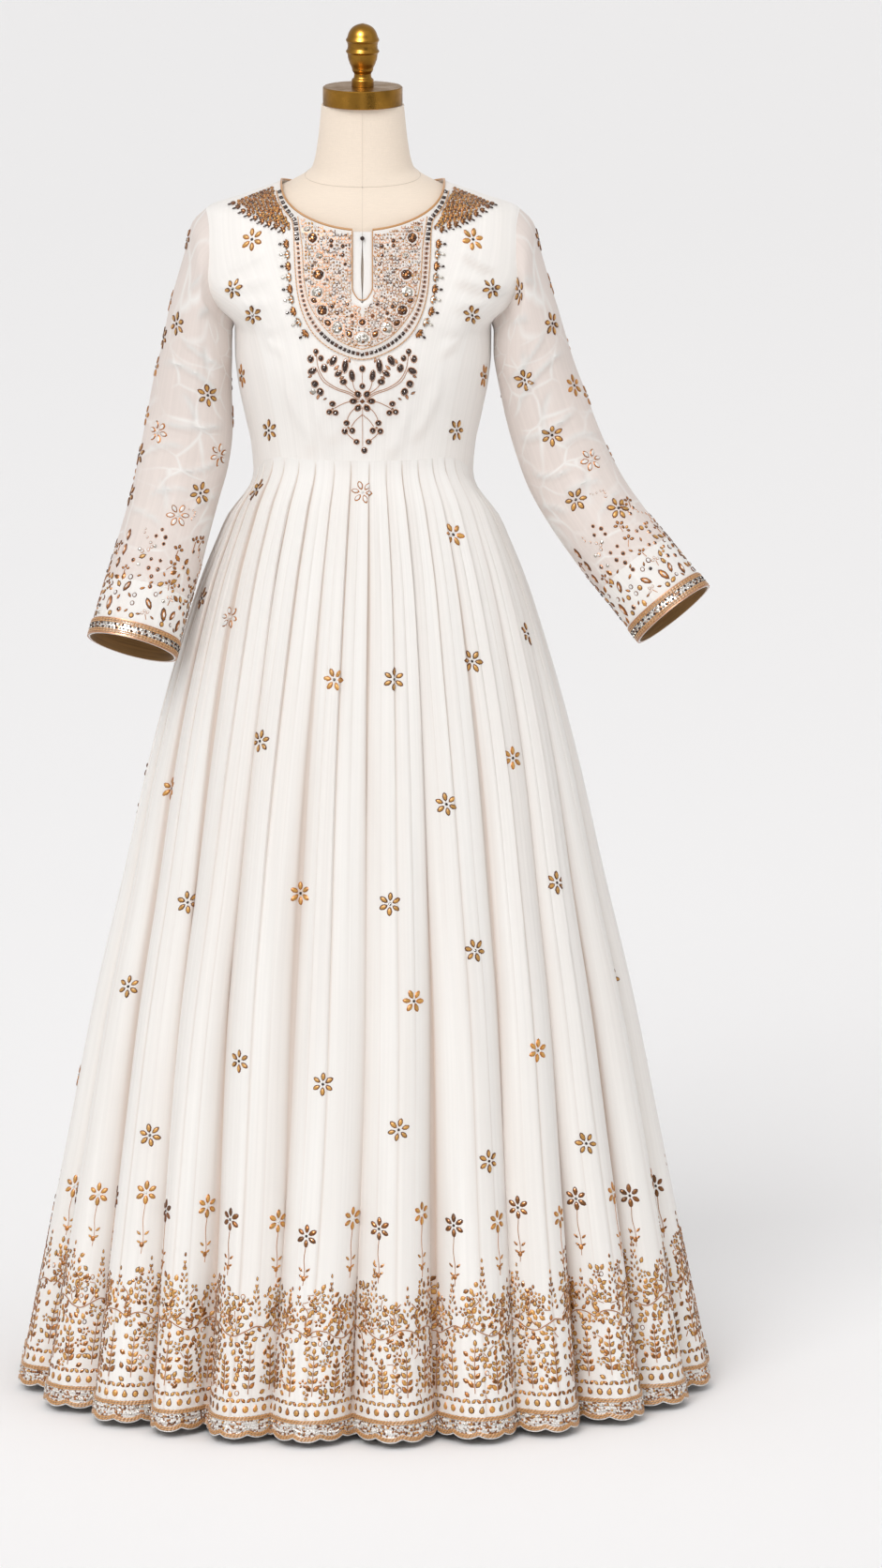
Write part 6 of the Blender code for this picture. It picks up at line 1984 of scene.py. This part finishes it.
def yoke_pendant(work):
    """The spray of stems and dark beads that hangs from the bib."""
    work.start_at(0.0, PENDANT_HEIGHT)
    beads = [(2, -65, 6.2, 7.0, 0), (0, 41, 6.2, 7.4, 0), (0, 19.5, 5.8, 6.6, 0)]
    beads += [(*off(0, 0, 10.5, turn), 6.6, 8.4, turn) for turn in range(30, 360, 60)]
    for side in (1, -1):
        for line in PENDANT_LINES:
            work.couch([(side * x, y) for x, y in line], 0.5, ROSE, 0.3)
        for x, y, wide, tall, turn in PENDANT_LEAVES:
            work.lay("leaf", side * x, y, wide, tall, side * turn, BROWN, ROSE)
        for x, y, wide, tall, turn in PENDANT_BEADS:
            beads.append((side * x, y, wide * 1.15, tall * 1.08, side * turn))
    for x, y, wide, tall, turn in beads:
        wide, tall = wide * 1.1, tall * 1.1
        work.lay("petal", x, y, wide, tall, turn, BEAD, BROWN, rise=1.2)
        rim = [rotated(a, b, turn) for a, b in round_it(wide * 0.5, tall * 0.5, 11)]
        work.couch([(x + a, y + b) for a, b in rim], 0.5, ROSE, work.uneven.uniform(0.1, 0.8), steps=14)
        work.lay("stone", x, y, wide * 0.62, tall * 0.66, turn, BEAD, rise=4.2)
        # Painted highlight: a tiny ivory bead up and to the left on top of each dark stone.
        work.lay("bead", x - 0.5, y + 0.9, 1.2, 1.2, 0, IVORY, rise=5.0)
    work.lay("tile", 0, 0, 4.2, 4.2, 45, BROWN, rise=2.2)
    work.lay("stone", -58, 11, 6.5, 6.5, 0, SILVER, rise=2.2)
    work.couch([(0, 36), (0, 24)], 0.4, ROSE, 0.4)
    work.couch([(0, -8), (0, -40), (0, -60)], 0.4, ROSE, 0.4)


def make_hem():
    size = sizes()
    for seed, (word, back) in enumerate(HALVES):
        cloth = sewing_skirt(back)

        def hang(run):
            scallop = np.abs(2 * np.mod(run / size.scallop, 1) - 1)
            return -size.scallop_depth * (1 - scallop**2.2)

        edge = hang(cloth.even_columns(BRAID_STEP)[1])
        cords = (
            (edge + 0.0006, 0.7, IVORY), (edge + 0.0028, 1.3, CORD), (edge + 0.0052, 1.3, CORD),
            (HEM_BORDER_HEIGHT - 0.0012, 1.3, CORD), (HEM_BORDER_HEIGHT - 0.0036, 1.3, CORD),
        )
        work = braid(
            f"hem_braid_{word}", f"hem_border_{word}", "gathered", f"pleated_skirt_{word}", cloth,
            np.linspace(HEM_BORDER_HEIGHT, edge, 8), cords, 10 + seed,
        )
        columns, run = cloth.even_columns(0.0029)
        low = 0.0064 + hang(run)
        for k, share in enumerate((0.27, 0.73)):
            rows = cloth.levels(columns, low + (HEM_BORDER_HEIGHT - 0.0042 - low) * share)
            for column, row in zip(columns, rows):
                work.start(column, row)
                kind = work.uneven.choice((IVORY, IVORY, SILVER, PALE, IVORY, GOLD, IVORY, BROWN))
                work.lay("bead", 1.45 * k, 0, 3.2, 3.2, 0, kind, rise=2.6)
        work.finish(f"hem_beads_{word}")
        make_hem_flowers(word, cloth, 20 + seed)


def make_hem_flowers(word, cloth, seed):
    """The embroidered border above the hem, with a spray of flowers above it."""
    work = Handwork(cloth, seed)
    width = float(cloth.across[-1, -1])
    repeats = max(1, round(width / sizes().panel))
    for i in range(repeats):
        work.start(*cloth.spot(i / repeats, 0.0))
        hem_repeat(work, i % 2, 1000 * width / repeats)
    work.finish(f"hem_embroidery_{word}")
    work = Handwork(cloth, seed + 5)
    count = max(1, round(width / SPRAY_STEP))
    for i in range(count):
        work.start(*cloth.spot((i + 0.5) / count, 0.186 + work.uneven.uniform(-0.012, 0.012)))
        hem_spray(work, i % 2 == 0, 54 + work.uneven.uniform(-10, 10))
    if word == "front":
        strew(work, SKIRT_FLOWERS)
    else:
        for share, height, tone in BACK_FLOWERS:
            work.start(*cloth.spot(share, height))
            scattered(work, tone)
    work.finish(f"skirt_flowers_{word}")


def scattered(work, tone):
    """One of the flowers strewn over the cloth."""
    tones = ((GOLD, IVORY, IVORY), (GOLD, PALE, BEAD), (BROWN, PALE, BEAD))[tone]
    flower(work, 0, 0, *tones, work.uneven.uniform(-25, 25))


def strew(work, flowers, side=1):
    """Scattered flowers at these x and z on the cloth."""
    for x, z, tone in flowers:
        work.start_at(side * x, z)
        scattered(work, tone)


def make_sleeve_work():
    for word, side in SIDES:
        _, _, cloth = sleeve_cloths(side)
        work = Handwork(cloth, 30 + side)
        strew(work, LEFT_SLEEVE_FLOWERS if side > 0 else RIGHT_SLEEVE_FLOWERS)
        for share in np.arange(0.56, 0.96, 0.13):
            for height in (0.2, 0.27, 0.34, 0.41):
                work.start(*cloth.spot(share + 0.05 * (round(height * 100) % 2), height))
                scattered(work, 2 if share < 0.8 else 1)
        girth = float(cloth.across[-1, -1])
        for share in (0.25, 0.75):
            work.start(*cloth.rim_spot(girth * share), flip=-side)
            cuff_design(work)
        cuff_filling(work, side)
        work.finish(f"cuff_embroidery_{word}")
        cords = (
            (0.0008, 1.0, ROSE), (0.003, 1.2, CORD), (0.0054, 1.2, CORD), (0.0152, 1.2, CORD),
            (0.0176, 1.2, CORD), (0.0194, 0.7, ROSE),
        )
        work = braid(
            f"cuff_braid_{word}", f"cuff_trim_{word}", "stretched", f"lined_cuff_{word}", cloth,
            np.linspace(CUFF_TRIM_HEIGHT, 0.0002, 6), cords, 40 + side, closed=True,
        )
        columns, _ = cloth.even_columns(0.0046)
        for k, above in enumerate((0.0082, 0.0125)):
            rows = cloth.levels(columns, above)
            for i in range(len(columns) - 1):
                work.start(columns[i], rows[i])
                work.lay("bead", 2.3 * k, 0, 3.4, 3.4, 0, BEAD if (i + k) % 2 else SILVER, rise=2.4)
        work.finish(f"cuff_beads_{word}")


def cuff_design(work):
    """Almond leaves, paisleys, rings and beads over the cuff and up the forearm."""
    for kind, x, y, size, turn in CUFF_DESIGN:
        if kind == "medallion":
            work.lay("petal", x, y, size * 0.62, size * 1.35, turn, BROWN, GOLD, rise=1.4)
            work.lay("leaf", x, y, size * 0.26, size * 0.7, turn, ROSE, IVORY, rise=1.9)
        elif kind == "ring":
            ringlet(work, x, y, size)
        elif kind == "stone":
            work.lay("petal", x, y, size, size * 1.1, turn, ROSE, BROWN, rise=1.3)
            work.lay("stone", x, y, size * 0.55, size * 0.6, turn, BEAD, rise=2.4)
        elif kind == "silver":
            work.lay("stone", x, y, size, size, 0, SILVER, rise=2.0)
        elif kind == "paisley":
            for i in range(7):
                t = i / 6
                a, b = rotated(size * (0.32 * math.sin(5 * t)), size * (t - 0.5), turn)
                ringlet(work, x + a, y + b, size * (0.2 - 0.1 * t), IVORY, ROSE)
        elif kind == "leaf":
            work.lay("leaf", x, y, size * 0.6, size * 1.3, turn, BROWN, GOLD)
        else:
            trefoil(work, x, y, size, turn, (ROSE, IVORY) if kind == "trefoil" else (BROWN, GOLD))


def cuff_filling(work, side):
    """Leaves, rings and small flowers strewn close together between the larger motifs of the cuff."""
    girth = 1000 * float(work.cloth.across[-1, -1])
    shake = work.uneven.uniform
    motifs = [
        (girth * share - side * x, y, size) for share in (0.25, 0.75) for _, x, y, size, _ in CUFF_DESIGN
    ]
    for row, y in enumerate(range(26, 124, 9)):
        loose = y > 80
        count = int(girth / (11.5 if loose else 9.0))
        for i in range(count):
            x = girth * (i + 0.5 * (row % 2) + shake(-0.15, 0.15)) / count
            beside = min(math.hypot(x - a, y - b) - size * 0.55 for a, b, size in motifs)
            if beside < 4.2 or (loose and shake(0, 1) < 0.35 + (y - 80) / 90):
                continue
            work.start(*work.cloth.rim_spot(x / 1000))
            choice = shake(0, 1)
            if choice < 0.22:
                ringlet(work, 0, y + shake(-1, 1), 6.8, work.uneven.choice((PALE, IVORY)))
            elif choice < 0.34:
                work.lay("stone", 0, y, 4.2, 4.2, 0, BEAD if choice < 0.29 else SILVER, rise=2.2)
            elif choice < 0.52:
                trefoil(work, 0, y + shake(-1, 1), 5.2, shake(-90, 90), stem=False)
            else:
                work.lay("leaf", 0, y + shake(-1, 1), 6.2, 10.4, shake(-70, 70), *work.tones())


def make_bodice_flowers():
    work = Handwork(whole_front(), 50)
    for row in BODICE_FLOWERS:
        for side in (1, -1):
            strew(work, [row], side)
    work.finish("bodice_flowers")
    for word, side in SIDES:
        work = Handwork(side_panel(False, side), 52)
        strew(work, SIDE_FLOWERS, side)
        work.finish(f"side_flowers_{word}")
        work = Handwork(bodice_half(True, side), 54)
        strew(work, BACK_BODICE_FLOWERS, side)
        work.finish(f"back_flowers_{word}")


def make_form():
    cloth = form_cloth()
    cover = cloth_grid(cloth)
    bmesh.ops.remove_doubles(cover, verts=cover.verts, dist=1e-6)
    bmesh.ops.holes_fill(cover, edges=[edge for edge in cover.edges if edge.is_boundary], sides=0)
    bmesh.ops.recalc_face_normals(cover, faces=cover.faces)
    add_piece("form_cover", cover, ["stretched_linen"], "linen_form_cover", "form_torso")
    seams = Handwork(cloth, 60, ["stretched_linen"])
    columns = np.linspace(0, 96, 193)
    heights = FORM_SEAM_HEIGHT - FORM_SEAM_DROP * (0.5 + 0.5 * np.cos(np.radians(columns * 3.75)))
    rows = place_in(heights, cloth.grid[:, 0, 2])
    seams.couch_on(columns, rows, 0.28, 0, 1.0)
    for column in (0.0, 48.0):
        seams.couch_on(np.full(150, column), np.linspace(4, len(cloth.grid) - 3, 150), 0.22, 0, 1.0)
    seams.start(0.0, float(rows[0]))
    seams.lay("bead", 0, 0, 2.0, 2.0, rise=1.2, shade=1.0)
    seams.finish("form_seams", "linen_form_cover")


def make_stand():
    edge = 0.0012
    cap = [(0, CAP_BOTTOM), (CAP_RADIUS - edge, CAP_BOTTOM), (CAP_RADIUS, CAP_BOTTOM + edge)]
    cap += [(CAP_RADIUS, CAP_TOP - edge), (CAP_RADIUS - edge, CAP_TOP), (0, CAP_TOP)]
    lathed("brass_neck_cap", cap, "aged_brass", "brushed_brass", "neck_cap", 96)
    knots = np.append(FINIAL_PROFILE["height"], FINIAL_TOP)
    heights = np.linspace(knots[0], FINIAL_TOP, 120)
    radii = smooth(heights, knots, np.append(FINIAL_PROFILE["radius"], 0.0008))
    turned = [(0, heights[0]), *zip(radii, heights), (0, heights[-1])]
    lathed("turned_finial", turned, "aged_brass", "brushed_brass", "finial")
    low, high = BASE_HEIGHT + GAP, float(form_cloth().grid[0, 0, 2]) - GAP
    tube = [(0, low), (0.024, low), (0.024, low + 0.008), (0.02, low + 0.012), (POLE_RADIUS, low + 0.014)]
    tube += [(POLE_RADIUS, high), (0, high)]
    lathed("stand_tube", tube, "satin_steel_paint", "painted_steel", "stand_pole")
    wide, tall = BASE_RADIUS, BASE_HEIGHT
    base = [(0, 0), (wide - 0.001, 0), (wide, 0.001), (wide, tall - 0.003), (wide - 0.001, tall - 0.001)]
    base += [(wide - 0.003, tall), (0, tall)]
    lathed("stand_disc", base, "satin_steel_paint", "painted_steel", "stand_base", 96)


def add_sun(name, strength_of, degrees, softness, glints=False):
    """An even light from far away: degrees from the front and above the floor."""
    lamp = bpy.data.lights.new(name, "SUN")
    lamp.energy, lamp.angle = strength_of, math.radians(softness)
    around, above = degrees
    made = add_object(name, lamp)
    made.rotation_euler = (math.radians(90 - above), 0, math.radians(around))
    made.visible_diffuse = not glints


def add_flag(name, near, far):
    """A dark card beside the camera, which only glossy things mirror."""
    card = bmesh.new()
    bmesh.ops.create_grid(card, x_segments=1, y_segments=1, size=0.5)
    bmesh.ops.scale(card, verts=card.verts, vec=(far - near, 5.0, 1.0))
    bmesh.ops.rotate(card, verts=card.verts, matrix=Matrix.Rotation(math.radians(90), 3, "X"))
    bmesh.ops.translate(card, verts=card.verts, vec=((near + far) / 2, -7.0, 2.6))
    made = add_object(name, mesh_of(name, card))
    made.data.materials.append(material("black_flag_cloth"))
    made.visible_camera = made.visible_diffuse = made.visible_shadow = made.visible_transmission = False


def make_stage():
    stage = bpy.context.scene.gown_stage
    floor = bmesh.new()
    bmesh.ops.create_circle(floor, cap_ends=True, radius=40, segments=96)
    made = add_object("studio_floor", mesh_of("studio_floor", floor))
    made.data.materials.append(material("backdrop_paper"))
    add_sun("key_light", stage.key, (-22, 43), 36)
    add_sun("fill_light", stage.fill, (50, 32), 60)
    add_sun("catch_light", stage.glint, (-22, 38), 5, glints=True)
    for word, near, far in (("left", -5.5, -0.9), ("right", 1.1, 5.5)):
        add_flag(f"dark_flag_{word}", near, far)
    world = bpy.data.worlds.new("even_light")
    world.use_nodes = True
    background = world.node_tree.nodes["Background"]
    background.inputs["Color"].default_value = (0.91, 0.905, 0.905, 1.0)
    background.inputs["Strength"].default_value = stage.surround
    bpy.context.scene.world = world
    bpy.context.scene.view_settings.view_transform = "Standard"
    lens = bpy.data.cameras.new("camera")
    lens.lens, lens.sensor_fit, lens.sensor_height = CAMERA_LENS, "VERTICAL", 36
    lens.clip_end = 200
    camera = add_object("camera", lens)
    camera.location = CAMERA_PLACE
    camera.rotation_euler = (math.radians(90 - CAMERA_DIP), 0, 0)
    bpy.context.scene.camera = camera


# Operators


class GOWN_OT_form(bpy.types.Operator):
    """Build the linen-covered form with its seams."""

    bl_idname = "gown.form"
    bl_label = "Dress form"

    def execute(self, context):
        make_form()
        return {"FINISHED"}


class GOWN_OT_stand(bpy.types.Operator):
    """Build the brass neck cap and finial, the pole and the base."""

    bl_idname = "gown.stand"
    bl_label = "Cap, finial and stand"

    def execute(self, context):
        make_stand()
        return {"FINISHED"}


class GOWN_OT_bodice(bpy.types.Operator):
    """Build the front with its slit, the side fronts and the back."""

    bl_idname = "gown.bodice"
    bl_label = "Bodice"

    def execute(self, context):
        make_bodice()
        make_bodice_flowers()
        return {"FINISHED"}


class GOWN_OT_neck(bpy.types.Operator):
    """Build the piping of neckline and slit, the plackets and the closing bead."""

    bl_idname = "gown.neck"
    bl_label = "Neck and slit"

    def execute(self, context):
        make_neck()
        return {"FINISHED"}


class GOWN_OT_yoke(bpy.types.Operator):
    """Build the bib with its border, scales, stones and hanging spray."""

    bl_idname = "gown.yoke"
    bl_label = "Yoke"

    def execute(self, context):
        make_yoke()
        return {"FINISHED"}


class GOWN_OT_sleeves(bpy.types.Operator):
    """Build the sheer sleeves and their lined cuffs with braid and embroidery."""

    bl_idname = "gown.sleeves"
    bl_label = "Sleeves and cuffs"

    def execute(self, context):
        make_sleeves()
        make_sleeve_work()
        return {"FINISHED"}


class GOWN_OT_skirt(bpy.types.Operator):
    """Build the pleated front and back of the skirt."""

    bl_idname = "gown.skirt"
    bl_label = "Skirt"

    def execute(self, context):
        make_skirt()
        return {"FINISHED"}


class GOWN_OT_hem(bpy.types.Operator):
    """Build the scalloped hem braid, the hem embroidery and the skirt's flowers."""

    bl_idname = "gown.hem"
    bl_label = "Hem and skirt flowers"

    def execute(self, context):
        make_hem()
        return {"FINISHED"}


class GOWN_OT_stage(bpy.types.Operator):
    """Set the floor, the light and the camera."""

    bl_idname = "gown.stage"
    bl_label = "Stage"

    def execute(self, context):
        make_stage()
        return {"FINISHED"}


OPERATORS = (
    GOWN_OT_form,
    GOWN_OT_stand,
    GOWN_OT_bodice,
    GOWN_OT_neck,
    GOWN_OT_yoke,
    GOWN_OT_sleeves,
    GOWN_OT_skirt,
    GOWN_OT_hem,
    GOWN_OT_stage,
)


class GOWN_PT_panel(bpy.types.Panel):
    """The gown's sizes, colours and pieces."""

    bl_idname = "GOWN_PT_panel"
    bl_label = "Anarkali gown"
    bl_space_type = "VIEW_3D"
    bl_region_type = "UI"
    bl_category = "Gown"

    def draw(self, context):
        scene = context.scene
        for group in (scene.gown_sizes, scene.gown_colours, scene.gown_stage):
            column = self.layout.column(align=True)
            for name in group.bl_rna.properties.keys():
                if name not in ("rna_type", "name"):
                    column.prop(group, name)
        for operator in OPERATORS:
            self.layout.operator(operator.bl_idname)


GROUPS = (("gown_sizes", GownSizes), ("gown_colours", GownColours), ("gown_stage", GownStage))
CLASSES = tuple(group for _, group in GROUPS) + OPERATORS + (GOWN_PT_panel,)


def register():
    for made in CLASSES:
        bpy.utils.register_class(made)
    for name, group in GROUPS:
        setattr(bpy.types.Scene, name, PointerProperty(type=group))


def unregister():
    for name, _ in GROUPS:
        delattr(bpy.types.Scene, name)
    for made in reversed(CLASSES):
        bpy.utils.unregister_class(made)


def main():
    register()
    for operator in OPERATORS:
        getattr(bpy.ops.gown, operator.bl_idname.split(".")[1])()


if __name__ == "__main__":
    main()
